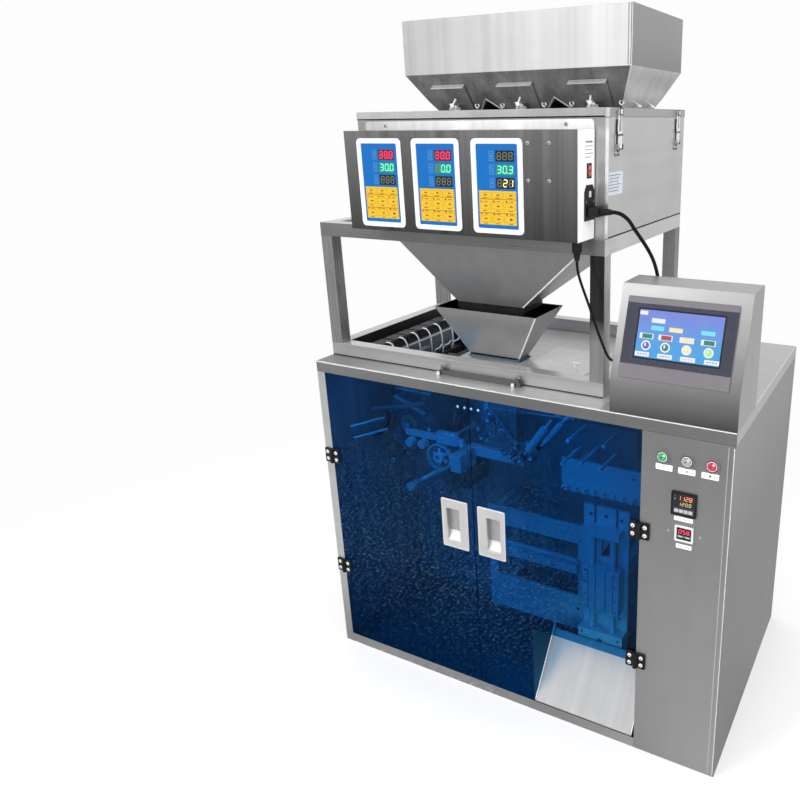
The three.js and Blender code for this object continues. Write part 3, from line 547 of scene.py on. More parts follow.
    def ride(self, node, body=None, replaces=False, sharp=35):
        """Makes the object; it rides where the CAD node rides, and may stand for it."""
        bmesh.ops.recalc_face_normals(self.mesh, faces=self.mesh.faces)
        data = bpy.data.meshes.new(self.name)
        self.mesh.to_mesh(data)
        self.mesh.free()
        return finish_object(self.name, data, self.materials, node, body, replaces, sharp)


def finish_object(name, data, materials, node, body=None, replaces=False, sharp=35):
    for material in materials:
        data.materials.append(material)
    data.polygons.foreach_set("use_smooth", [True] * len(data.polygons))
    data.set_sharp_from_angle(angle=math.radians(sharp))
    thing = bpy.data.objects.new(name, data)
    scene.collection.objects.link(thing)
    even = thing.modifiers.new("even_normals", "WEIGHTED_NORMAL")
    even.keep_sharp = True
    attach(thing, body or BODY_OF[node])
    if replaces:
        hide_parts(node)
    return thing


def skin(node, material, width=0.6, choose=None, cuts=()):
    """The CAD solid with its edges eased.

    choose(normal, centre in mm) may pick another material; cuts are (axis, mm) planes that part its faces.
    """
    solid = bmesh.new()
    solid.from_mesh(frame["nodes"][node].data)
    bmesh.ops.remove_doubles(solid, verts=solid.verts, dist=1e-6)
    bmesh.ops.dissolve_limit(
        solid, angle_limit=math.radians(0.5), verts=solid.verts, edges=solid.edges, delimit={"NORMAL"},
    )
    if width:
        hard = [e for e in solid.edges if e.is_manifold and e.calc_face_angle(0) > math.radians(32)]
        bmesh.ops.bevel(
            solid, geom=hard, offset=width * MM, offset_type="OFFSET", segments=2, profile=0.6,
            affect="EDGES", clamp_overlap=True,
        )
    for axis, level in cuts:
        normal = Vector([float(i == axis) for i in range(3)])
        bmesh.ops.bisect_plane(
            solid, geom=[*solid.verts, *solid.edges, *solid.faces], dist=1e-7,
            plane_co=place((level, level, level)), plane_no=normal,
        )
    materials = [material]
    for face in solid.faces:
        face.material_index = 0
        if choose:
            other = choose(face.normal, face.calc_center_median() / MM - CORNER)
            if other is not None:
                if other not in materials:
                    materials.append(other)
                face.material_index = materials.index(other)
    data = bpy.data.meshes.new(f"{node}_skin")
    solid.to_mesh(data)
    solid.free()
    return finish_object(f"{node}_skin", data, materials, node, replaces=True, sharp=40)


SEGMENTS = {
    "0": "abcdef", "1": "bc", "2": "abged", "3": "abgcd", "4": "fgbc", "5": "afgcd", "6": "afgedc",
    "7": "abc", "8": "abcdefg", "9": "abcfgd", " ": "",
}


def number(piece, face, text, u, v, tall, pitch, d, lit, dark=None, slant=0.08):
    """Seven-segment digits centred on (u, v), with the unlit segments in dark."""
    wide, thick = tall * 0.5, tall * 0.13
    arms = {
        "a": (0, 0.5, 0), "d": (0, -0.5, 0), "g": (0, 0, 0), "f": (-0.5, 0.25, 1), "b": (0.5, 0.25, 1),
        "e": (-0.5, -0.25, 1), "c": (0.5, -0.25, 1),
    }
    digits = text.replace(".", "")
    left = u - (len(digits) - 1) * pitch / 2
    for i, digit in enumerate(digits):
        for arm, (x, y, upright) in arms.items():
            material = lit if arm in SEGMENTS[digit] else dark
            if material is None:
                continue
            across, along = (thick, tall / 2 - thick * 0.9) if upright else (wide - thick * 0.9, thick)
            middle = (x * wide, y * (tall - thick))
            corners = [
                (middle[0] + sx * across / 2, middle[1] + sy * along / 2)
                for sx, sy in ((-1, -1), (1, -1), (1, 1), (-1, 1))
            ]
            outline = [(left + i * pitch + p + q * slant, v + q) for p, q in corners]
            piece.stack(face, [(outline, d), (outline, d + 0.15)], material)
    if "." in text:
        at = left + (text.index(".") - 0.5) * pitch
        piece.knob(face, thick * 0.6, d, d + 0.15, lit, at, v - tall / 2 + thick / 2, edge=0.02, sides=10)


# ---- Cords ----
def cord(name, route, width, node, fitting):
    """A free cord along the route, from its fitting back into the object. fitting is not used."""
    points = [place(p) for p in centripetal(route, 12)]
    data = bpy.data.curves.new(name, "CURVE")
    data.dimensions = "3D"
    data.bevel_depth = width / 2 * MM
    data.bevel_resolution = 4
    data.use_fill_caps = True
    line = data.splines.new("POLY")
    line.points.add(len(points) - 1)
    for spot, point in zip(line.points, points):
        spot.co = (*point, 1)
    line.use_smooth = True
    data.materials.append(RUBBER_AND_SHADOW)
    thing = bpy.data.objects.new(name, data)
    scene.collection.objects.link(thing)
    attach(thing, BODY_OF[node])
    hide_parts(node)


def power_plug():
    """The moulded right-angle plug with its finger grips and ribbed strain relief."""
    box = span("power_plug")
    axis = right(box.y, span("power_inlet").z0 + 16, box.x0)
    plug = Piece("power_plug_moulding")
    plug.pad(axis, 24, 15.2, 2, 0, 18.2, BLACK)
    plug.pad(axis, 27, 18, 4, 17.6, 38, BLACK, edge=1.6)
    for i in range(4):
        plug.pad(axis, 27.4, 12, 2, 20.5 + i * 4, 22.3 + i * 4, BLACK, edge=0.3)
    tail = box.x1 - box.x0
    plug.knob(axis, 7, 37, tail, BLACK, top=4.1, edge=0.4)
    for i in range(5):
        r = 6.9 - i * 0.55
        plug.ring(axis, r + 0.5, 3, 40 + i * 4, 41.6 + i * 4, BLACK, edge=0.3)
    return plug.ride("power_plug", replaces=True)


def signal_connector():
    """A round screw connector with a knurled collar under the display box."""
    box = span("signal_connector")
    axis = above(box.x, box.y, box.z0)
    body = Piece("signal_connector_body")
    high = box.z1 - box.z0
    body.knob(axis, 4.3, 0, 16, BLACK, top=6.8)
    for i in range(4):
        body.ring(axis, 5.0 + i * 0.6, 3, 2 + i * 3.2, 3.4 + i * 3.2, BLACK, edge=0.3)
    body.knob(axis, 9, 15.5, high, BLACK, edge=0.8)
    for i in range(18):
        t = 2 * math.pi * i / 18
        body.pad(axis, 1.2, 1.2, 0.3, 18, high - 4, BLACK, 8.5 * math.cos(t), 8.5 * math.sin(t), edge=0.2)
    body.ring(axis, 9, 6, high - 3, high, CHROME)
    return body.ride("signal_connector", replaces=True)


CORD_ROUTE = [
    (714.5, 31, 1120), (719, 31, 1120), (729, 35, 1117), (738, 48, 1106), (743, 66, 1088), (749, 86, 1068),
    (755, 107, 1046), (759, 128, 1022), (761, 146, 994), (762, 160, 960), (763, 168, 915),
    (763, 170, 860), (763, 170, 815), (763, 170, 782.3),
]
CABLE_ROUTE = [
    (650, 22, 1030.7), (651, 22, 1016), (656, 22, 997), (666, 22, 971), (676, 22, 946),
    (685, 22, 922), (694, 22, 899), (703, 22, 878), (711, 22, 861), (718, 22, 852.5),
    (722.5, 22, 851), (726.5, 22, 851),
]
CORD_WIDTH, CABLE_WIDTH = 7, 5
cord("power_lead", CORD_ROUTE, CORD_WIDTH, "power_cord", power_plug())
cord("signal_lead", CABLE_ROUTE, CABLE_WIDTH, "signal_cable", signal_connector())


# ---- Sheet metal ----
# Painted shadow: right of SHADE_X the tray's floor is painted near black.
SHADE_X = 548       # the tray's floor is dark to the right of this
# Painted light: right of DECK_X the top plate's deck gets a lighter copy of its steel.
DECK_X = 706        # the top plate's brightness changes here


def faces(front=None, side=None, top=None, other=None):
    """Picks a material by the way a face points, mostly to paint light and shade as lighter and darker copies
    on fronts, right sides and tops.
    """
    def choose(normal, centre):
        if normal.y < -0.8:
            return front
        if normal.x > 0.8:
            return side
        return top if normal.z > 0.8 else other
    return choose


def tray_painted_shading(normal, centre):
    """Painted shadow: the floor beside the chute is painted near black as shade; painted light: the front
    edges get a lighter copy.
    """
    if normal.z > 0.8:
        return IRON_AND_SHADE if centre.x > SHADE_X else TRAY
    return EDGE if normal.y < -0.8 else None


def top_painted_shading(normal, centre):
    """Painted light and shade: the front lip gets a darker, slightly rougher copy of the deck's steel; the
    side lip and the deck right of DECK_X get lighter copies.
    """
    if abs(normal.z) < 0.5:
        return TOP_FRONT if normal.y < -0.8 else TOP_SIDE if normal.x > 0.8 else None
    return TOP_RIGHT if centre.x > DECK_X else None


def stand_painted_shading(normal, centre):
    """The tubes by level: the low ring, the legs, then the ring under the weigher. Painted light and shade:
    top faces get bright steel as a highlight, the low ring's inward faces on the left near black as shadow,
    the front right leg a painted reflection, and the rest lighter and darker copies by direction.
    """
    box = span("stand_frame")
    if normal.z > 0.8:
        return BRIGHT
    if centre.z < box.z0 + 31:
        if normal.x > 0.8 and centre.x < box.x:
            return IRON_AND_SHADE
        return RAIL if abs(normal.y) > 0.8 else BEAM_SIDE
    if centre.z > box.z1 - 31:
        return BEAM_SIDE if abs(normal.x) > 0.8 else BEAM
    if centre.x > box.x1 - 31 and centre.y < box.y0 + 31:
        return LEG_SIDE if abs(normal.x) > 0.8 else LEG_DARK
    return None


# Painted shade: front faces other than the bracket get the housing's darker copy.
def housing_painted_shading(normal, centre):
    box = span("weigher_housing")
    if normal.y < -0.8:
        return BRACKET if centre.y < box.y0 + 1 else HOUSING_FRONT
    return None


def hopper_painted_shading(normal, centre):
    """Painted light and shade: the slopes under the bin get darker steel than its walls, the right faces
    lighter and darker copies, and the gaps between the outlets are painted near black as shadow.
    """
    box = span("feed_hopper")
    if centre.z < box.z0 + 30 and abs(normal.x) > 0.3 and abs(centre.x - box.x) < 150:
        return IRON_AND_SHADE
    if centre.z < box.z1 - 105:
        return SLOPE_SIDE if normal.x > 0.5 else SLOPE
    return HOPPER_SIDE if normal.x > 0.5 else None


def gate_lip_highlight(index):
    """Painted highlight: the handle lip gets bright steel; the wing nut is polished; the plate gets the
    slope's painted darker steel.
    """
    box = span(f"slide_gate_{index}")

    def choose(normal, centre):
        if centre.z > box.z1 - 9:
            return BRIGHT
        proud = (Vector((box.x, 200, 1296)) - centre).dot(Vector((0, 0.795, 0.607)))
        return SHINY if proud > 3.2 else None
    return choose


def funnel_painted_shading(normal, centre):
    """The short spout is darker than the slopes. Painted light: the inside's upward faces get a lighter copy,
    and the right faces their own copy.
    """
    if normal.z > 0.15:
        return INNER
    if centre.z < span("collecting_funnel").z0 + 16:
        return SPOUT
    return FUNNEL_SIDE if normal.x > 0.3 else None


# Painted light and shade: the upward inside faces get a lighter copy, the right faces a darker one.
def throat_painted_shading(normal, centre):
    if normal.z > 0.15:
        return INNER
    return THROAT_SIDE if normal.x > 0.3 else None


skin("top_plate", TOP, choose=top_painted_shading, cuts=[(0, DECK_X)])
skin("base_tray", CABINET, 0.6, tray_painted_shading, [(0, SHADE_X)])
skin("left_side_panel", CABINET, choose=faces(front=EDGE, side=WALL))
skin("right_side_panel", CABINET)
skin("rear_panel", CABINET)
skin("mechanism_plate", WALL)
skin("control_panel", PANEL)
stand = span("stand_frame")
skin("stand_frame", LEG, 1.2, stand_painted_shading, [
    (2, stand.z0 + 30), (2, stand.z1 - 30), (0, stand.x0 + 30), (0, stand.x1 - 30), (1, stand.y0 + 30),
])
skin("weigher_housing", HOUSING, choose=housing_painted_shading)
skin("weigher_lid", LID, choose=faces(side=LID_SIDE))
skin("control_box", BOX, 0.9, faces(side=BOX_SIDE))
skin("collecting_funnel", FUNNEL, 0.4, funnel_painted_shading)
skin("throat_hopper", THROAT, 0.4, throat_painted_shading)
skin("feed_hopper", HOPPER, 0.6, hopper_painted_shading)
skin("hmi_box", HMI_BOX, 0.8, faces(side=HMI_SIDE, top=HMI_TOP))
skin("discharge_chute", CHUTE, 0.4)
skin("weigh_bucket_bank", BRIGHT, 0.4)
for i in (1, 2, 3):
    skin(f"bucket_flap_{i}", BRIGHT, 0.4)
    skin(f"slide_gate_{i}", SLOPE, 0.4, gate_lip_highlight(i))


def fold_highlights_and_shadows():
    """Painted highlights and shadows: bright rods and strips along each rounded fold where the sheets turn,
    and thin black strips as shadow lines at the foot of the stand and the housing and under the lid.
    """
    top, case, lid = span("top_plate"), span("weigher_housing"), span("weigher_lid")
    high = plate_top()
    # Painted highlight: bright rods along the top plate's rounded front and right edges, at its top and at
    # its lip's foot.
    plate = Piece("top_plate_fold_highlight")
    plate.rod((1, 1.5, high - 1.5), (top.x1 - 1, 1.5, high - 1.5), 1.75, SHINY)
    plate.rod((top.x1 - 1.8, 1, high - 1.5), (top.x1 - 1.8, top.y1 - 2, high - 1.5), 1.7, BRIGHT)
    low = high - 24
    plate.rod((span("control_panel").x0, 1.1, low), (top.x1 - 1, 1.1, low), 1.1, SHINY)
    plate.rod((top.x1 - 1.2, 1, low), (top.x1 - 1.2, top.y1 - 2, low), 1.1, BRIGHT)
    plate.ride("top_plate")
    # Painted highlight: bright rods down the cabinet's front right corner.
    post = Piece("corner_fold_highlight")
    post.rod((top.x1 - 3.2, 1.6, 4), (top.x1 - 3.2, 1.6, high - 29), 1.7, SHINY)
    post.rod((top.x1 - 13, 1.6, 4), (top.x1 - 13, 1.6, high - 29), 1.7, BRIGHT)
    post.ride("control_panel")
    # Painted shadow: a thin black strip along the stand's foot.
    ring = Piece("stand_seam_shadow")
    seam = front(stand.x, high + 1.4, stand.y0)
    ring.pad(seam, stand.x1 - stand.x0 - 2, 1.8, 0.2, 0, 0.2, RUBBER_AND_SHADOW, edge=0.04)
    ring.ride("stand_frame")
    # Painted highlight: a bright strip down the housing's front right corner; painted shadow: a thin black
    # strip along its foot on the right side.
    body = Piece("housing_corner_highlight_and_shadow")
    body.pad(front(case.x1 - 6.5, (case.z0 + case.z1) / 2, 59), 7, case.z1 - case.z0 - 3, 0.4, 0, 0.5, BRIGHT)
    seam = right((case.y0 + case.y1) / 2, case.z0 + 1.6, span("stand_frame").x1)
    body.pad(seam, case.y1 - case.y0 - 2, 2.6, 0.2, 0, 0.25, RUBBER_AND_SHADOW, edge=0.05)
    body.ride("weigher_housing")
    # Painted highlight: a bright strip down the lid's front right corner; painted shadow: a thin black strip
    # under its front edge.
    cover = Piece("lid_corner_highlight_and_shadow")
    cover.pad(front(lid.x1 - 4.5, (lid.z0 + lid.z1) / 2, lid.y0), 7, lid.z1 - lid.z0 - 1, 0.4, 0, 0.4, BRIGHT)
    under = front(lid.x - 4, lid.z0 + 1.3, lid.y0)
    cover.pad(under, lid.x1 - lid.x0 - 12, 2.2, 0.2, 0, 0.2, RUBBER_AND_SHADOW, edge=0.05)
    cover.ride("weigher_lid")


def hopper_trim():
    """Rolled rims round the gaps between the outlets, painted bright as highlights, with the eyes and wing
    screws beside them.
    """
    box = span("feed_hopper")
    trim = Piece("hopper_trim")
    low = box.z0 + 1
    for apex, left, far in ((371, 347.5, 396.5), (527.8, 504.5, 553.5)):
        rim = [(left, 198.4, low), (left + 2, 197, low + 3), (apex, 177, 1319), (far - 2, 197, low + 3),
               (far, 198.4, low)]
        trim.tube(rim, 1.7, BRIGHT, 10)
        for x in (left - 6, far + 6):
            eye(trim, (x, 195, low + 9))
    eye(trim, (664, 195, low + 9))
    for y in (255, 330):
        trim.rod((668, y, low + 8), (677, y, low + 2), 2.4, SHINY)
        trim.pad(Face((676, y, low + 3), (0, 1, 0), (-0.5, 0, 0.86)), 17, 6, 2.6, -1, 1, SHINY)
    for i in (1, 2, 3):
        x, lean = span(f"slide_gate_{i}").x, 4 - 4 * i
        wing = Piece(f"wing_screw_{i}")
        wing.rod((x - 11 - lean, 177, low + 2), (x + 9 + lean, 171, low + 23), 2.1, SHINY)
        wing.rod((x - 8, 172, low + 13), (x + 10, 172, low + 6), 1.5, SHINY)
        wing.knob(Face((x, 171, low + 10)), 4.6, -6, 3, SHINY)
        wing.ride(f"slide_gate_{i}")
    seam = [(box.x1 - 2.4, box.y0 - 0.2), (box.x1 - 7.5, box.y0 - 0.2)]
    for x, y in seam:
        trim.rod((x, y, box.z1 - 103), (x, y, box.z1 - 1), 0.7, SLOPE, 10, 0.2)
    # Painted highlight: a bright rod along the slope's right edge.
    trim.rod((box.x1 - 38, 198, low + 2), (box.x1 - 1.4, box.y0 + 1, box.z1 - 104), 1.8, BRIGHT)
    trim.ride("feed_hopper")


def funnel_edges():
    """Painted highlights: bright rods down the near right corners of the funnels, and a thin black strip
    under the throat as painted shadow.
    """
    top, low = span("collecting_funnel"), span("throat_hopper")
    edge = Piece("funnel_edge")
    edge.rod((top.x1 - 1.5, top.y0 + 1.5, top.z1 - 1), (440, 190.5, 885), 2.0, SHINY)
    edge.ride("collecting_funnel")
    rim = Piece("throat_edge")
    rim.rod((low.x1 - 1, low.y0 + 1, low.z1 - 1), (427, 190.5, 765), 1.8, SHINY)
    # Painted shadow: a thin black strip under the throat's front.
    rim.pad(front(361, plate_top() + 5.2, 189.4), 126, 3.6, 0.2, 0, 0.6, RUBBER_AND_SHADOW, edge=0.1)
    rim.ride("throat_hopper")


def eye(piece, spot):
    """A small screw eye standing out of the slope."""
    x, y, z = spot
    turns = [math.pi * i / 7 - 0.6 for i in range(13)]
    piece.tube([(x + 4.2 * math.cos(t), y - 4, z + 4.2 * math.sin(t)) for t in turns], 1.5, SHINY, 8)
    piece.rod((x, y + 1, z - 4), (x, y - 4.6, z - 4.4), 1.8, SHINY)


fold_highlights_and_shadows()
hopper_trim()
funnel_edges()


# ---- Doors ----
SHEET = 5
HINGE_R = 5
CUP = (36, 82, 2.4)


def door(name, side):
    """side is -1 for the left door and 1 for the right one."""
    box, grip, chute = span(name), span(f"{name}_handle"), span("discharge_chute")
    outer = box.x0 + HINGE_R + GAP if side < 0 else box.x1 - HINGE_R - GAP
    inner = box.x1 if side < 0 else box.x0
    x0, x1 = sorted((outer, inner))
    sheet = [(x0, box.z0), (x1, box.z0), (x1, box.z1), (x0, box.z1)]
    if side > 0:
        notch_x, notch_z = chute.x0 - 3, chute.z1 + 50
        sheet[1:2] = [(notch_x, box.z0), (notch_x, notch_z), (x1, notch_z)]
    pane = Piece(f"{name}_pane")
    cup = (side * 5, -3.5)
    hole = oblong(36.8, 82.8, 1, grip.x + cup[0], grip.z + cup[1])
    pane.plate(Face((0, box.y1, 0)), [sheet, hole], 0, SHEET, ACRYLIC)
    pane.ride(name, replaces=True)

    plate = Piece(f"{name}_catch")
    at = front(inner + side * 16, box.z1 - 22, 0)
    for u in (-8.5, 8.5):
        plate.screw(at, 2.7, 0.1, GLINT, u)
    plate.ride(name)

    pull = Piece(f"{name}_pull")
    face = front(grip.x, grip.z, 0)
    rim = [
        ((67, 118, 2.6), 0.3), ((68, 119, 3), 0.8), ((68, 119, 3), 1.4), ((64, 115, 2), 3.0),
        (CUP, 3.0, *cup), ((33.6, 79.6, 2.2), 2.0, *cup), ((33, 79, 2), 0.3, *cup),
    ]
    pull.stack(face, [(oblong(*shape, *middle), d) for shape, d, *middle in rim], HANDLE, closed=True)
    # Painted shade: the recess's walls get the darker cup copy of the zinc.
    inside = [
        ((32.4, 78.4, 2), -11.4), ((33, 79, 2), -10.8), ((33, 79, 2), 0.25), (CUP, 0.25), (CUP, -12.5),
        ((35, 81, 2.4), -12.9),
    ]
    pull.stack(face, [(oblong(*shape, *cup), d) for shape, d in inside], HANDLE_CUP)
    # Painted highlight: the scoop at the recess's foot and a thin rim round the plate get polished steel to
    # catch highlights.
    ramp = [(-39.3, -11.3), (-20, -11.3), (-25, -10.6), (-30, -8.8), (-34, -6.2), (-37, -3), (-39.3, -0.2)]
    pull.loft([[face.at(u + cup[0], v + cup[1], d) for v, d in ramp] for u in (-16.4, 16.4)], SHINY)
    pull.bezel(face, (68, 119, 3), (64.6, 115.6, 2), 0.9, 3.1, SHINY)
    pull.ride(f"{name}_handle", replaces=True)

    pin = box.x0 + HINGE_R if side < 0 else box.x1 - HINGE_R
    for level in ("lower", "upper"):
        hinge(name, level, side, pin)


def hinge(name, level, side, pin):
    """A black butt hinge with two capped screws on each leaf."""
    box = span(f"{name}_hinge_{level}")
    tall = box.z1 - box.z0
    third = tall / 3
    pin_y = -HINGE_R - GAP
    face = front(pin, box.z, 0)
    leaves = ((side, f"{name}_hinge_{level}", "frame_leaf"), (-side, name, "door_leaf"))
    for way, owner, piece_name in leaves:
        leaf = Piece(f"{name}_{level}_{piece_name}")
        leaf.pad(face, 15.4, tall, 2.5, 0.4, 4.6, BLACK, way * 13.2, edge=0.7)
        knuckles = [(-tall / 2, -third / 2), (third / 2, tall / 2)]
        if owner == name:
            knuckles = [(-third / 2, third / 2)]
        axis = above(pin, pin_y, box.z)
        for low, high in knuckles:
            leaf.knob(axis, HINGE_R, low + 0.2, high - 0.2, BLACK, edge=0.5)
            leaf.pad(face, 7, high - low - 0.6, 0.5, 0.8, 4.4, BLACK, way * 4, (low + high) / 2, edge=0.4)
        for v in (-8.6, 8.6):
            leaf.screw(face, 4.4, 4.4, SHINY, way * 12.2, v, turn=0.3 + v)
        leaf.ride(owner, replaces=owner != name)


door("left_door", -1)
door("right_door", 1)


# ---- Control panel ----
def control_panel():
    caps = (("power_button", GREEN), ("start_button", CHROME), ("stop_button", RED))
    plates = Piece("panel_labels")
    rings = Piece("button_bezels")
    for node, colour in caps:
        box = span(node)
        face = front(box.x, box.z, 0)
        cap = Piece(f"{node}_cap")
        dome = ((9.2, -24), (10, -23.4), (10, 3.2), (9.7, 4.1), (8.6, 4.5), (7.4, 4.3), (3, 4.05))
        cap.stack(face, [(circle(r), d) for r, d in dome], colour)
        # Painted highlight and reflection: a bright ring and a glint on the cap, and a dark ring and a dark
        # spot as painted reflection.
        cap.ring(face, 9.5, 8.3, 3.9, 4.6, SHINY, edge=0.2)
        cap.ring(face, 8.0, 7.2, 3.9, 4.45, IRON_AND_SHADE, edge=0.2)
        cap.knob(face, 2.2, 4.0, 4.5, SHINY, 3.0, 3.2, edge=0.2)
        cap.knob(face, 1.6, 4.0, 4.4, IRON_AND_SHADE, -2.6, -1.5, edge=0.2)
        cap.ride(node, replaces=True)
        rings.ring(face, 14.4, 12.2, 0.05, 2.6, SHINY, edge=0.9)
        # Painted shade: a dark inner ring on the bezel.
        rings.ring(face, 12.6, 10.4, 0.05, 3.0, IRON_AND_SHADE, edge=0.3)
        label = front(box.x + (box.x < 860) * 3 - (box.x > 900) * 3, box.z - 21, 0)
        plates.pad(label, 32, 12, 1.2, 0.02, 0.5, PAPER, edge=0.1)
        symbol(plates, label, node)
    rings.ride("control_panel")
    for node, drop in (("temperature_controller", 32), ("batch_counter", 28)):
        box = span(node)
        label = front(box.x, box.z - drop, 0)
        wide = 36 if drop > 30 else 30
        plates.pad(label, wide, 9, 0.8, 0.02, 0.5, PAPER, edge=0.1)
        for i in range(5):
            plates.pad(label, 3.4, 2.4, 0.3, 0.48, 0.56, LABEL_GREY, -10 + i * 5, 0, edge=0.02)
    counter = span("batch_counter")
    for u in (-31, 30):
        plates.screw(front(counter.x + u, counter.z - 1, 0), 2.8, 0.02, CHROME)
    plates.ride("control_panel")


def symbol(piece, face, node):
    """A plain mark on each button's label: a lit ring, an arrow or a square."""
    if node == "power_button":
        piece.ring(face, 2.6, 2.0, 0.48, 0.58, INK, edge=0.02, sides=24)
        piece.pad(face, 0.7, 2.8, 0.1, 0.48, 0.6, INK, 0, 2.0, edge=0.02)
    elif node == "start_button":
        triangle = [(-2, -2.6), (2.8, 0), (-2, 2.6)]
        piece.stack(face, [(triangle, 0.48), (triangle, 0.58)], INK)
    else:
        piece.pad(face, 4.4, 4.4, 0.2, 0.48, 0.58, INK, edge=0.02)
    for i in (-3, -2, 2, 3):
        piece.pad(face, 1.2, 5.4, 0.2, 0.48, 0.56, LABEL_GREY, i * 3.8, 0, edge=0.02)
        piece.pad(face, 3.0, 1.2, 0.2, 0.48, 0.56, LABEL_GREY, i * 3.8 + 0.8, -2 + i % 2 * 3, edge=0.02)


def controller():
    box = span("temperature_controller")
    face = front(box.x, box.z, 0)
    unit = Piece("temperature_controller_unit")
    unit.pad(face, 44.8, 44.8, 1, -box.y1, -0.2, BLACK)
    unit.bezel(face, (48, 48, 2), (41, 41, 1), 0.3, 5, BLACK)
    unit.pad(face, 42, 42, 1, 0.3, 3.4, BEZEL_DARK)
    unit.pad(face, 37, 25, 0.8, 3.3, 3.7, DARK_GLASS, 0, 6.5, edge=0.15)
    number(unit, face, "1128", 2, 12.2, 9.4, 7.2, 3.72, ORANGE_LAMP, None)
    number(unit, face, "1200", 2, 0.4, 7.4, 6.6, 3.72, CREAM_LAMP, None)
    for u in (-13.5, -4.5, 4.5, 13.5):
        unit.pad(face, 8.2, 7.4, 1.2, 3.3, 4.2, HANDLE, u, -14, edge=0.3)
        unit.pad(face, 2, 1, 0.1, 4.15, 4.3, PAPER, u, -13.5, edge=0.03)
    for v in (9, 12, 15):
        unit.knob(face, 0.8, 3.65, 3.85, UNLIT if v > 9 else GREEN_LAMP, -16.5, v, edge=0.1, sides=12)
    unit.ride("temperature_controller", replaces=True)


def counter():
    box = span("batch_counter")
    face = front(box.x, box.z, 0)
    unit = Piece("batch_counter_unit")
    unit.pad(face, 30, 26, 1, -box.y1, -0.2, BLACK)
    unit.bezel(face, (36, 33, 2), (28, 25, 1), 0.3, 4, WHITE)
    unit.pad(face, 29, 26, 1, 0.3, 2.6, BLACK)
    unit.pad(face, 26, 13, 0.6, 2.5, 2.9, DARK_GLASS, 0, 4, edge=0.15)
    number(unit, face, "058", 0, 4, 9, 7.5, 2.92, RED_LAMP, None)
    unit.pad(face, 26, 4.5, 0.4, 2.5, 3.0, LEAF_LAMP, 0, -6, edge=0.15)
    for u in (-7, 7):
        unit.pad(face, 8, 3.4, 0.8, 2.5, 3.4, HANDLE, u, -6.2, edge=0.3)
    unit.ride("batch_counter", replaces=True)


control_panel()
controller()
counter()


# ---- Weigher displays and the side of their box ----
def display(index, rows):
    """rows are (text, lit material) from the top, with spaces for dark digits."""
    node = f"display_module_{index}"
    box = span(node)
    wide, tall = box.x1 - box.x0, box.z1 - box.z0
    face = front(box.x, box.z, box.y1)
    unit = Piece(f"{node}_unit")
    unit.pad(face, wide, tall, 9, 0, 1.1, WHITE, edge=0.3)
    unit.bezel(face, (wide, tall, 9), (wide - 21, tall - 18, 3), 0.2, 1.7, WHITE, edge=0.45)
    unit.pad(face, wide - 22, tall - 19, 2.5, 0.5, 1.22, BLUE, edge=0.05)
    for i, (text, lit) in enumerate(rows):
        v = 54 - i * 23.6
        haze = {RED_LAMP: RED_HAZE, GREEN_LAMP: GREEN_HAZE}.get(lit, DARK_GLASS)
        unit.pad(face, 39, 19.5, 0.6, 1.2, 1.3, haze if text.strip() else DARK_GLASS, 17.3, v, edge=0.03)
        number(unit, face, text, 17.3, v, 14, 12, 1.3, lit, UNLIT)
        for k in range(2):
            unit.bezel(face, (9, 7.5, 0.8, -11, v + 4.6 - 9.2 * k), (7.6, 6.1, 0.5, -11, v + 4.6 - 9.2 * k),
                       1.2, 1.3, ICON, edge=0.03)
            unit.pad(face, 4, 0.9, 0.2, 1.2, 1.3, ICON, -11, v + 4.6 - 9.2 * k, edge=0.03)
    unit.pad(face, 78.5, 61, 0.8, 1.2, 1.32, YELLOW, 0, -37.5, edge=0.04)
    for v in (-22, -47):
        unit.pad(face, 78, 0.9, 0.1, 1.3, 1.36, KEY_INK, 0, v, edge=0.02)
    for u in (-13, 13):
        unit.pad(face, 0.8, 60, 0.1, 1.3, 1.36, KEY_EDGE, u, -37.5, edge=0.02)
    for row, v in enumerate((-14.5, -34.5, -57.5)):
        for u in (-27, 0, 27):
            unit.bezel(face, (22, 12 if row else 9, 1.5, u, v), (20.4, 10.4 if row else 7.4, 1, u, v),
                       1.3, 1.36, KEY_EDGE, edge=0.03)
            unit.pad(face, 6, 1.6, 0.2, 1.3, 1.38, KEY_INK, u + 2, v, edge=0.03)
            dot = RED if row == 2 and u > 0 else KEY_EDGE
            unit.knob(face, 2.4, 1.3, 1.38, dot, u, v, edge=0.03, sides=12)
            if row:
                unit.knob(face, 1.8, 1.3, 1.4, RED if u < 0 else KEY_INK, u - 8, v + 8.6, edge=0.03, sides=12)
                unit.pad(face, 8, 1.2, 0.1, 1.3, 1.37, KEY_INK, u + 2, v + 8.4, edge=0.02)
            unit.pad(face, 9, 1.2, 0.1, 1.3, 1.37, KEY_INK, u, v - (8.4 if row else 5.8), edge=0.02)
    unit.ride(node, replaces=True)


display(1, (("30.0", RED_LAMP), ("30.0", GREEN_LAMP), ("   ", RED_LAMP)))
display(2, (("30.0", RED_LAMP), (" 0.0", GREEN_LAMP), ("   ", RED_LAMP)))
display(3, (("   ", RED_LAMP), ("30.3", GREEN_LAMP), (" 21", YELLOW_LAMP)))


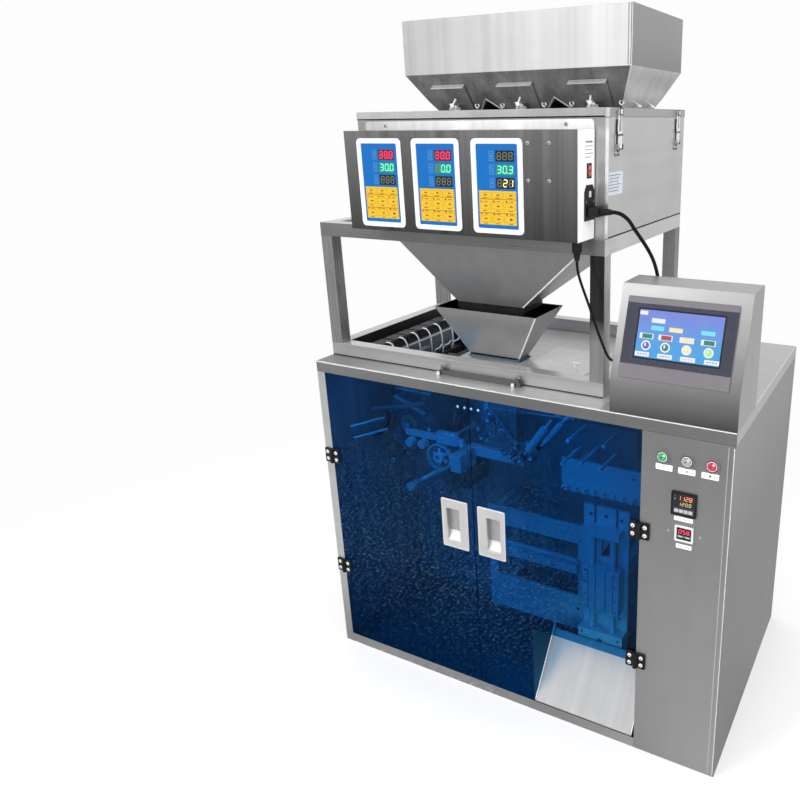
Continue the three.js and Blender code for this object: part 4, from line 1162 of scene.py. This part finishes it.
def box_trim():
    """Screws on the control box front and the label on its side."""
    box = span("control_box")
    trim = Piece("control_box_trim")
    face = front(0, 0, box.y0)
    for x in (572, 614):
        for z in (1238, 1174):
            trim.screw(face, 3.6, 0.0, CHROME, x, z)
    side = right(0, 0, box.x1)
    trim.pad(side, 44, 40, 1, 0.02, 0.3, BOX_SIDE, 31, 1224, edge=0.08)
    for i in range(5):
        trim.pad(side, 4.2, 3.4, 0.3, 0.28, 0.4, INK, 19 + i * 6, 1239, edge=0.02)
    for i in range(4):
        for k in range(5 - i % 2):
            trim.pad(side, 4.6, 1.3, 0.1, 0.28, 0.4, INK, 18 + k * 6.6, 1232 - i * 6.2, edge=0.02)
    trim.ride("control_box")

    case = span("weigher_housing")
    plate = Piece("rating_label")
    side = right(0, 0, span("stand_frame").x1)
    plate.pad(side, 72, 41, 0.8, 0.02, 0.6, RATING, 100, 1164, edge=0.08)
    for i in range(6):
        short = i % 3
        plate.pad(side, 58 - 7 * short, 1.1, 0.1, 0.58, 0.66, INK, 98 - 3 * short, 1179 - i * 5.6, edge=0.02)
    for u in (84, 112):
        plate.pad(side, 0.5, 34, 0.1, 0.58, 0.65, INK, u, 1164, edge=0.02)
    plate.ride("weigher_housing")

    bracket = Piece("bracket_screws")
    face = front(0, 0, case.y0)
    for x in (205, 612):
        bracket.screw(face, 4, 0.1, CHROME, x, 1269)
    bracket.ride("weigher_housing")


def rocker_and_inlet():
    box = span("rocker_switch")
    side = right(box.y, box.z, box.x1 - 3)
    rocker = Piece("rocker_cap")
    shape = [(-9.9, -3.9), (-9.9, 0.6), (-8.4, 2.9), (0, 1.1), (8.4, 2.2), (9.9, 1.2), (9.9, -3.9)]
    rings = [[side.at(u, v, d) for v, d in shape] for u in (-6.4, 6.4)]
    rocker.loft(rings, AMBER_RED)
    rocker.pad(side, 0.9, 4.6, 0.2, 1.9, 2.7, WHITE, 0, -5.4, edge=0.1)
    rocker.ring(Face(side.at(0, 5.2, 1.0), (0, 1, 0)), 2.3, 1.7, 0.4, 1.3, WHITE, edge=0.1, sides=20)
    rocker.ride("rocker_switch", replaces=True)

    frame_ring = Piece("rocker_frame")
    wall = right(box.y, box.z, span("control_box").x1)
    frame_ring.bezel(wall, (19, 26, 1.5), (13.6, 20.8, 0.6), 0.02, 1.4, BLACK)
    frame_ring.ride("control_box")

    inlet = span("power_inlet")
    plug = span("power_plug")
    side = right(inlet.y, inlet.z, span("control_box").x1)
    socket = Piece("power_inlet_socket")
    v = plug.z - inlet.z
    corners = [(11, 31), (-11, 31), (-19, 19), (-19, -31), (19, -31), (19, 19)]
    hole = oblong(27, 18, 2, 0, v)
    socket.plate(side, [corners, hole], 0.3, 3.2, BLACK)
    socket.bezel(side, (29, 48, 3), (26.4, 17.4, 1.5, 0, v), -20, 0.6, BLACK)
    socket.pad(side, 29, 48, 3, -29.5, -19, BLACK)
    socket.pad(side, 22, 17, 1.2, 2.4, 3.25, BLACK, 0, 14, edge=0.25)
    socket.pad(side, 10, 11, 0.8, 2.9, 3.3, WHITE, 0, 15, edge=0.15)
    for u in (-15.5, 15.5):
        socket.screw(side, 2.2, 2.3, CHROME, u, 2)
    socket.ride("power_inlet", replaces=True)


box_trim()
rocker_and_inlet()


# ---- Lid latches ----
def latch(node):
    """A draw latch: a lever that pulls a wire bail down over the hook on the lid."""
    box = span(node)
    pivot_z = 1228
    x = box.x0 + 2.2
    mid = pivot_z + 21
    swing = Piece(f"{node}_bail")
    top = box.z1 - 1.5
    for side in (-1, 1):
        bend = [(0, 7.2, mid + 8), (0, 5.2, top - 8), (0, 4, top - 2.5), (0, 2, top), (0, 0, top)]
        wire = [(1.2, 7.6, mid), *bend]
        swing.tube([(x + dx, box.y + side * dy, z) for dx, dy, z in wire], 1.5, SHINY, 10)
        # Painted dark reflection: the pivot rods and the cross rod are near black.
        swing.rod((x, box.y + side * 7, pivot_z), (x, box.y + side * 10.7, pivot_z), 2.6, IRON_AND_SHADE)
    swing.rod((x + 1.2, box.y - 8.6, mid), (x + 1.2, box.y + 8.6, mid), 1.9, IRON_AND_SHADE)
    lever = [(-6.4, -1.6), (-6.4, 1.6), (-4.6, 2.2), (-3, 1.1), (3, 1.1), (4.6, 2.2), (6.4, 1.6), (6.4, -1.6)]
    face = right(box.y, 0, x)
    heel = [(-2.4, 0.7, -0.2), (-1.6, 0.9, 0.2), (0, 1.05, 0.4)]
    levels = [*heel, (14, 0.95, 0.2), (24, 0.8, 0.6), (27, 0.5, 0.4)]
    swing.loft([[face.at(u * k, pivot_z + z, d + lift) for u, d in lever] for z, k, lift in levels], SHINY)
    swing.rod((x - 1, box.y - 9.5, pivot_z), (x - 1, box.y + 9.5, pivot_z), 2.0, CHROME)
    swing.ride(node, replaces=True)

    lid = span("weigher_lid")
    hook = Piece(f"{node}_hook")
    at = right(box.y, lid.z1 - 7, lid.x1)
    # Painted dark reflection: a near black plate round the hook's bright face.
    hook.pad(at, 17, 13, 2, 0, 0.8, IRON_AND_SHADE)
    hook.pad(at, 9, 9, 1, 0.5, 1.4, SHINY)
    hook.ride("weigher_lid")
    base = Piece(f"{node}_base")
    at = right(box.y, pivot_z - 6, span("stand_frame").x1 + 1)
    base.pad(at, 24, 34, 3, 0.02, 0.5, CAST, 0, 7)
    # Painted dark reflection: a tall near black plate on the base.
    base.pad(at, 15, 56, 3, 0.4, 0.9, IRON_AND_SHADE, 0, 26)
    for u in (-8.4, 8.4):
        base.screw(at, 2.4, 0.7, SHINY, u, -4)
    base.ride("weigher_housing")


latch("front_latch")
latch("rear_latch")


# ---- Touch panel ----
def touch_panel():
    """The panel lies on the sloping front of its box; its tiles are x and height up the slope."""
    box, case = span("hmi_panel"), span("hmi_box")
    slope = Vector((0, 60, 170))
    foot = (box.x, 0, case.z1 - slope.z)
    face = Face(foot, (1, 0, 0), slope)
    middle = 82.5
    unit = Piece("touch_panel_unit")
    unit.pad(face, 190, 136, 2, -27, 0.6, BLACK, 0, middle)
    unit.pad(face, 204, 150, 3, 0.4, 3.2, BEZEL_GREY, 0, middle, edge=0.8)
    unit.pad(face, 203, 111, 1.5, 3.0, 4.0, BEZEL_DARK, 0.2, 90, edge=0.4)
    unit.bezel(face, (160, 92, 1, 1.6, 91.7), (154.4, 86, 0.6, 1.6, 91.7), 3.6, 4.1, BLACK, edge=0.15)
    unit.pad(face, 154.4, 86, 0.6, 3.9, 4.04, SCREEN, 1.6, 91.7, edge=0.03)
    d = 4.03

    def tile(x, s, wide, tall, material, r=0.8, lift=0.0):
        unit.pad(face, wide, tall, r, d + lift, d + lift + 0.06, material, x - box.x, s, edge=0.02)

    tile(776, 128.5, 15, 7, WHITE_LAMP)
    tile(805, 116.5, 25, 8, WHITE_LAMP)
    tile(805, 103, 24, 8, CYAN_LAMP)
    tile(839, 103, 25, 8, CREAM_LAMP)
    tile(897, 104, 25, 7.5, CYAN_LAMP)
    for x, frame_lamp, lamp_in in (
        (786.5, WHITE_LAMP, LEAF_LAMP), (822, WHITE_LAMP, BRICK_LAMP), (861, WHITE_LAMP, CREAM_LAMP),
        (899.5, WHITE_LAMP, LEAF_LAMP),
    ):
        tile(x, 87.5, 26, 10, frame_lamp)
        tile(x + 1.5, 87.5, 19, 8, lamp_in, lift=0.05)
    for x, lamp_in in ((787.5, VIOLET_LAMP), (823.6, LEAF_LAMP), (862.7, CREAM_LAMP), (902.2, LIME_LAMP)):
        unit.knob(face, 9, d, d + 0.06, WHITE_LAMP, x - box.x, 70.5, edge=0.02)
        unit.knob(face, 6.3, d + 0.05, d + 0.12, lamp_in, x - box.x, 70.5, edge=0.02)
        unit.pad(face, 3, 6, 1, d + 0.1, d + 0.16, WHITE_LAMP if lamp_in != CREAM_LAMP else YELLOW_LAMP,
                 x - box.x - 1.5, 72, edge=0.02)
    for x, mark in ((782.5, INK), (825, INK), (867, PINK), (910, INK)):
        tile(x, 54.5, 27, 8, WHITE_LAMP)
        for k in range(4):
            tile(x - 7.5 + 5 * k, 54.5, 3.2, 1.6, mark, 0.2, 0.05)
    for k in range(5):
        tile(772 + 3.2 * k, 117, 2.0, 1.4, VIOLET_LAMP, 0.2)
    unit.ride("hmi_panel", replaces=True)


touch_panel()


# ---- Mechanism ----
def film_roll():
    box = span("film_roll")
    r = (box.z1 - box.z0) / 2
    axis = front(box.x, box.z, 0)
    d0, d1 = -(box.y1 - 4), -(box.y0 + 5)
    roll = Piece("film_reel_wound")
    steps = 9
    winds = [(26 + (r - 27) * i / steps, 0.5 * (i % 2)) for i in range(steps + 1)]
    levels = [(24.5, d0), *((radius, d0 + dip) for radius, dip in winds), (r, d0 + 1.2)]
    levels += [(r, d1 - 1.2), *((radius, d1 - dip) for radius, dip in reversed(winds)), (24.5, d1)]
    roll.stack(axis, [(circle(radius, sides=64), d) for radius, d in levels], FILM, closed=True)
    roll.ring(axis, 24.3, 12.8, -box.y1, -box.y0, CARD, edge=0.6, sides=40)
    roll.ride("film_roll", replaces=True)


film_roll()


def mechanism_details():
    """Screws, slots and small fittings that stand on the mechanism's bigger parts."""
    slide, car = span("slide_unit"), span("carriage")
    marks = Piece("slide_marks")
    plate = front(slide.x, 0, 137.8)
    # Painted shade: flat dark discs and strips stand for the shaded holes and slots in the slide plate.
    for u, v in ((-36, 450), (0, 452), (36, 450), (-36, 200), (36, 200)):
        marks.knob(plate, 4.2, 0.02, 0.6, CAST, u, v, edge=0.1, sides=20)
    for u in (-26, 26):
        marks.pad(plate, 5, 150, 2, 0.02, 0.5, CAST, u, 400, edge=0.1)
    base = front(slide.x, 148, 107.8)
    marks.knob(base, 7, 0.02, 0.6, CAST, 0, 0, edge=0.1)
    for u in (-44, 44):
        for v in (-14, 14):
            marks.screw(base, 4, 0.02, CHROME, u, v)
    marks.ride("slide_unit")

    lines = Piece("carriage_lines")
    block = front(car.x, car.z, car.y0)
    for u in (-30, -12, 12, 30):
        lines.pad(block, 2, 104, 0.4, -0.3, 0.15, CAST, u, 0, edge=0.05)
    for u in (-36, 36):
        for v in (-46, -16, 16, 46):
            lines.screw(block, 3, 0.02, CHROME, u, v)
    lines.ride("carriage")

    frame_box, air = span("transport_frame"), span("pneumatic_plate")
    bolts = Piece("frame_bolts")
    sheet = front(0, 0, frame_box.y0)
    for x in (342, 584):
        for z in (112, 170, 240, 300, 352):
            bolts.screw(sheet, 4, 0.02, CHROME, x, z)
    bolts.ride("transport_frame")

    rods = Piece("air_rods")
    for x, z in ((596, 596), (640, 606), (683, 600), (690, 654), (610, 650)):
        rods.rod((x, 60, z), (x, 150, z), 4.0, SHINY)
    for x, z in ((572, 512), (736, 512), (572, 566), (736, 566)):
        rods.screw(front(x, z, air.y0), 4, 0.02, CHROME)
    rods.pad(front(655, 625, 150), 150, 66, 3, -8, 0, CAST)
    rods.ride("pneumatic_plate")

    arm = Piece("film_guide_arm")
    bar_face = front(205, 555, 150)
    arm.pad(bar_face, 170, 16, 3, -8, 0, ALLOY, 0, -8)
    arm.pad(bar_face, 60, 30, 3, -10, 3, ALLOY, 40, -4)
    pulley = front(216, 495, 150)
    arm.ring(pulley, 36, 30, -12, 0, ALLOY, edge=1)
    arm.ring(pulley, 14, 6, -14, 4, SHINY, edge=1)
    for i in range(3):
        arm.pad(Face(pulley.at(0, 0), (math.cos(i * 2.1), 0, math.sin(i * 2.1)),
                     (-math.sin(i * 2.1), 0, math.cos(i * 2.1))), 8, 46, 2, -9, -4, ALLOY)
    for x, z, r in ((138, 524, 12), (175, 526, 12)):
        arm.knob(front(x, z, 150), r, -6, 14, ALLOY, edge=1.5, top=r - 1)
    arm.pad(front(278, 498, 140), 30, 44, 2, -60, 8, ALLOY)
    arm.knob(front(145, 413, 140), 11, -6, 22, ALLOY, edge=1.5)
    arm.rod((145, 160, 413), (205, 180, 450), 5, SHINY)
    for x, z in ((22, 588), (30, 560)):
        arm.rod((x + 24, 40, z), (x + 60, 120, z), 3, SHINY)
    for x, z in ((130, 566), (196, 566), (262, 560), (288, 540)):
        arm.screw(front(x, z, 147), 4, 0.1, SHINY)
    arm.ride("mechanism_plate")


def former_details():
    """The film clamps, air cylinders and adjusting knobs over the sealing jaws."""
    parts = Piece("film_clamps")
    for start, end, r in (
        ((468, 150, 566), (512, 150, 628), 9), ((504, 160, 588), (548, 160, 642), 7),
    ):
        tip = tuple(b + (b - a) * 0.35 for a, b in zip(start, end))
        root = tuple(a - (b - a) * 0.3 for a, b in zip(start, end))
        parts.rod(start, end, r, ALLOY, edge=1)
        parts.rod(end, tip, 2.6, SHINY)
        parts.rod(root, start, 2.6, SHINY)
        parts.rod(tip, tuple(c + 0.02 for c in tip), 0.5, SHINY)
        parts.knob(front(root[0], root[2], root[1]), 6, -5, 5, IRON_AND_SHADE)
    plate = front(0, 0, 158)
    bars = (((392, 538), (468, 580)), ((330, 562), (396, 602)), ((352, 640), (438, 560)))
    for (x0, z0), (x1, z1) in bars:
        along = (x1 - x0, 0, z1 - z0)
        face = Face(plate.at((x0 + x1) / 2, (z0 + z1) / 2), along, (z0 - z1, 0, x1 - x0))
        parts.pad(face, math.dist((x0, z0), (x1, z1)), 15, 3, -8, 0, LEG)
        for u in (-0.4, 0.0, 0.4):
            parts.screw(face, 3.4, 0.1, SHINY, u * math.dist((x0, z0), (x1, z1)))
    for x, z in ((453, 541), (482, 553), (428, 548), (346, 600), (372, 626)):
        parts.knob(front(x, z, 140), 7, -14, 6, CAST, edge=1)
        parts.knob(front(x, z, 134), 3.4, 0, 3, SHINY)
    web = [
        (70, 150, 598), (74, 150, 570), (60, 150, 545), (40, 150, 528), (20, 150, 520),
    ]
    parts.tube(centripetal(web, 6), 7, IRON_AND_SHADE, 12)
    for x0, z0, x1, z1 in ((40, 600, 200, 640), (115, 648, 204, 612), (120, 668, 226, 668)):
        parts.rod((x0, 128, z0), (x1, 128, z1), 6, CAST, edge=1)
    posts = ((150, 690, 640), (250, 690, 648), (330, 690, 610), (520, 690, 640), (575, 690, 600))
    for x, z1, z0 in posts:
        parts.rod((x, 200, z1), (x, 200, z0), 7, ALLOY, edge=1)
    parts.ride("mechanism_plate")


def chute_edges():
    """Bright folded edges of the chute's side walls."""
    box = span("discharge_chute")
    edges = Piece("chute_edges")
    for x in (box.x0 + 1, box.x1 - 1):
        edges.rod((x, box.y0 + 1.5, box.z0 + 5), (x, box.y1 - 2, box.z1 - 1.5), 1.3, SHINY)
    edges.ride("discharge_chute")


def valve_bank():
    """A row of valves on a long block, with an air hose hooking over the block's edge from each."""
    box = span("valve_manifold")
    bank = Piece("valve_bank")
    deep = box.y1 - box.y0
    bank.pad(above(box.x0 + 25, box.y, 0), 50, deep, 2, box.z0 + 28, box.z1 - 22, CAST)
    bank.pad(above(box.x0 + 61, box.y, 0), 18, deep, 2, box.z0 + 4, box.z0 + 24, IRON_AND_SHADE)
    bank.rod((box.x0 + 50, box.y0 + 2, box.z1 - 24), (box.x0 + 50, box.y1 - 2, box.z1 - 24), 2.4, HANDLE)
    bank.pad(above(box.x1 - 12, box.y, 0), 24, deep, 2, box.z0, box.z0 + 30, IRON_AND_SHADE)
    bank.pad(above(box.x0 + 62, box.y - 18, 0), 18, 44, 2, box.z0 + 24, box.z0 + 58, LEG)
    for i in range(6):
        y = box.y0 + (i + 0.5) * deep / 6
        at = above(box.x0 + 22, y, 0)
        bank.pad(at, 36, deep / 6 - 6, 2, box.z1 - 23, box.z1, IRON_AND_SHADE, edge=1)
        bank.pad(at, 30, 5, 1, box.z1 - 24, box.z1 - 3, CAST, 0, deep / 12)
        high = box.z1
        hook = [
            (box.x0 + 30, y - 4, high - 6), (box.x0 + 38, y - 2, high), (box.x0 + 47, y, high - 2),
            (box.x0 + 55, y + 1, high - 12), (box.x0 + 58, y + 2, high - 30), (box.x0 + 59, y + 2, high - 60),
            (box.x0 + 60, y + 2, box.z0 + 22),
        ]
        bank.tube(centripetal(hook, 5), 1.8, HOSE, 10)
    for i in range(3):
        y = box.y1 - 34 - 40 * i
        bend = [
            (box.x0 + 62, y, box.z0 + 22), (box.x0 + 64, y, box.z0 + 34), (box.x0 + 72, y - 2, box.z0 + 44),
            (box.x0 + 84, y - 3, box.z0 + 50), (box.x0 + 92, y - 4, box.z0 + 60),
        ]
        bank.tube(centripetal(bend, 5), 1.8, HOSE, 10)
    bank.ride("valve_manifold", replaces=True)


def top_details():
    """A step plate, a bolt and the small bracket beside the throat."""
    top = plate_top()
    fittings = Piece("top_fittings")
    slab = above(0, 0, top)
    step = [(455, 106), (556, 118), (600, 150), (600, 330), (455, 330)]
    fittings.stack(slab, [(step, 0.1), (step, 1.5)], BRIGHT)
    fittings.knob(slab, 3, 0.3, 14, SHINY, 560, 205)
    fittings.rod((552, 205, top + 12), (572, 205, top + 12), 1.6, SHINY)
    bracket = [(291, 90), (365, 104), (348, 136), (300, 128)]
    fittings.stack(slab, [(bracket, 0.4), (bracket, 9)], BRIGHT)
    fittings.ride("top_plate")
    pins = Piece("clamp_screws")
    clamp = span("clamp_bar")
    for x in (clamp.x0 + 8, clamp.x1 - 8):
        pins.rod((x - 7, clamp.y0 + 6, clamp.z1 + 0.8), (x + 7, clamp.y0 + 6, clamp.z1 + 0.8), 1.8, CAST)
        pins.knob(above(x - 6, clamp.y0 - 5, plate_top()), 3.6, 0.1, 8, SHINY, edge=0.8)
    pins.ride("clamp_bar")


mechanism_details()
former_details()
top_details()
for i in (1, 2):
    skin(f"guide_roller_{i}", CHROME, 0.3)
skin("front_seal_jaw", ALLOY, 0.5)
skin("rear_seal_jaw", ALLOY, 0.5)
skin("slide_unit", ALLOY_UP, 0.6)
skin("carriage", ALLOY, 0.8)
skin("transport_frame", ALLOY, 0.5)
skin("pneumatic_plate", ALLOY, 0.5)
valve_bank()
chute_edges()
skin("gear_motor", CAST, 0.8)
skin("clamp_bar", CLAMP, 0.5)


# ---- Room ----
def floor():
    bpy.ops.mesh.primitive_circle_add(vertices=96, radius=7, fill_type="NGON", location=(0, 0, -0.0005))
    thing = bpy.context.object
    thing.name = "studio_floor"
    finish = Finish("studio_floor", (0.86, 0.86, 0.87), 0.0, 0.6)
    spot = finish.node("ShaderNodeSeparateXYZ", Vector=finish.where)
    x, y = spot.outputs[0], spot.outputs[1]
    across = finish.maths("SUBTRACT", finish.maths("MULTIPLY", x, 0.889), finish.maths("MULTIPLY", y, 0.458))
    left = finish.spread(across, 1, 0, 0.25, 0.6)
    ahead = finish.spread(y, 1, 0, -0.25, 0.15)
    dark = finish.maths("MULTIPLY", left, ahead)
    near = finish.spread(y, 0.13, 0.42, -2.3, -0.5)
    close = finish.spread(y, 1, 0.15, -0.62, -0.36)
    chips = finish.spread(finish.noise(112, (1, 1, 1), 1.0), 0.10, 16.0, 0.52, 0.8)
    fade = finish.spread(across, 1, 0.4, 0.0, 0.3)
    soft = finish.maths("MULTIPLY", finish.maths("MULTIPLY", near, close), fade)
    terrazzo = finish.maths("MULTIPLY", soft, chips)
    lit = finish.maths("MULTIPLY", finish.maths("SUBTRACT", 1.0, dark), 0.5)
    glow = finish.node("ShaderNodeEmission", Color=(1, 1, 1, 1))
    finish.set(glow, "Strength", finish.maths("ADD", lit, finish.maths("MULTIPLY", dark, terrazzo)))
    far = finish.node("ShaderNodeVectorMath", {"operation": "LENGTH"})
    finish.set(far, 0, finish.where)
    pale = finish.node("ShaderNodeEmission", Color=(1, 1, 1, 1), Strength=0.985)
    near_mix = finish.node("ShaderNodeMixShader", Fac=finish.spread(far.outputs["Value"], 0.35, 1, 0.5, 2.0))
    finish.tree.links.new(finish.shader.outputs[0], near_mix.inputs[1])
    finish.tree.links.new(pale.outputs[0], near_mix.inputs[2])
    seen = finish.node("ShaderNodeLightPath").outputs["Is Camera Ray"]
    both = finish.node("ShaderNodeMixShader", Fac=seen)
    finish.tree.links.new(glow.outputs[0], both.inputs[1])
    finish.tree.links.new(near_mix.outputs[0], both.inputs[2])
    finish.tree.links.new(both.outputs[0], finish.tree.nodes["Material Output"].inputs["Surface"])
    thing.data.materials.append(finish.material)


def softbox(name, spot, target, wide, tall, power, colour=(1, 1, 1), glints=False):
    data = bpy.data.lights.new(name, "AREA")
    data.shape = "RECTANGLE"
    data.size, data.size_y, data.energy = wide, tall, power
    thing = bpy.data.objects.new(name, data)
    scene.collection.objects.link(thing)
    thing.location = spot
    thing.rotation_euler = (Vector(target) - Vector(spot)).to_track_quat("-Z", "Y").to_euler()
    data.color = colour
    thing.visible_glossy = glints
    thing.visible_camera = False


def room():
    world = bpy.data.worlds.new("studio")
    scene.world = world
    world.use_nodes = True
    tree = world.node_tree
    ground = tree.nodes["Background"]
    ground.inputs[0].default_value = (1, 1, 1, 1)
    ground.inputs[1].default_value = 0.985
    soft = tree.nodes.new("ShaderNodeBackground")
    where = tree.nodes.new("ShaderNodeTexCoord")
    part = tree.nodes.new("ShaderNodeSeparateXYZ")
    tree.links.new(where.outputs["Generated"], part.inputs[0])
    ramp = tree.nodes.new("ShaderNodeMapRange")
    tree.links.new(part.outputs[2], ramp.inputs["Value"])
    for key, value in (("From Min", -0.14), ("From Max", 0.04), ("To Min", 0.22), ("To Max", 0.75)):
        ramp.inputs[key].default_value = value
    tree.links.new(ramp.outputs[0], soft.inputs[1])
    seen = tree.nodes.new("ShaderNodeLightPath")
    both = tree.nodes.new("ShaderNodeMixShader")
    tree.links.new(seen.outputs["Is Camera Ray"], both.inputs[0])
    tree.links.new(soft.outputs[0], both.inputs[1])
    tree.links.new(ground.outputs[0], both.inputs[2])
    tree.links.new(both.outputs[0], tree.nodes["World Output"].inputs[0])
    softbox("key", (-1.4, -2.6, 2.4), (0, 0, 0.8), 1.6, 1.6, 70)
    softbox("low_fill", (0.5, -3.0, 0.9), (0, 0, 0.5), 1.6, 1.2, 45)
    softbox("side", (2.8, -0.2, 1.8), (0, 0, 0.9), 1.4, 2.0, 45)
    softbox("top", (0, 0.2, 3.4), (0, 0, 0), 2.2, 2.2, 60)
    softbox("inside", (-0.13, -0.25, 0.735), (-0.1, 0.1, 0.2), 0.6, 0.06, 0.5, (0.1, 0.45, 1.0), True)


floor()
room()
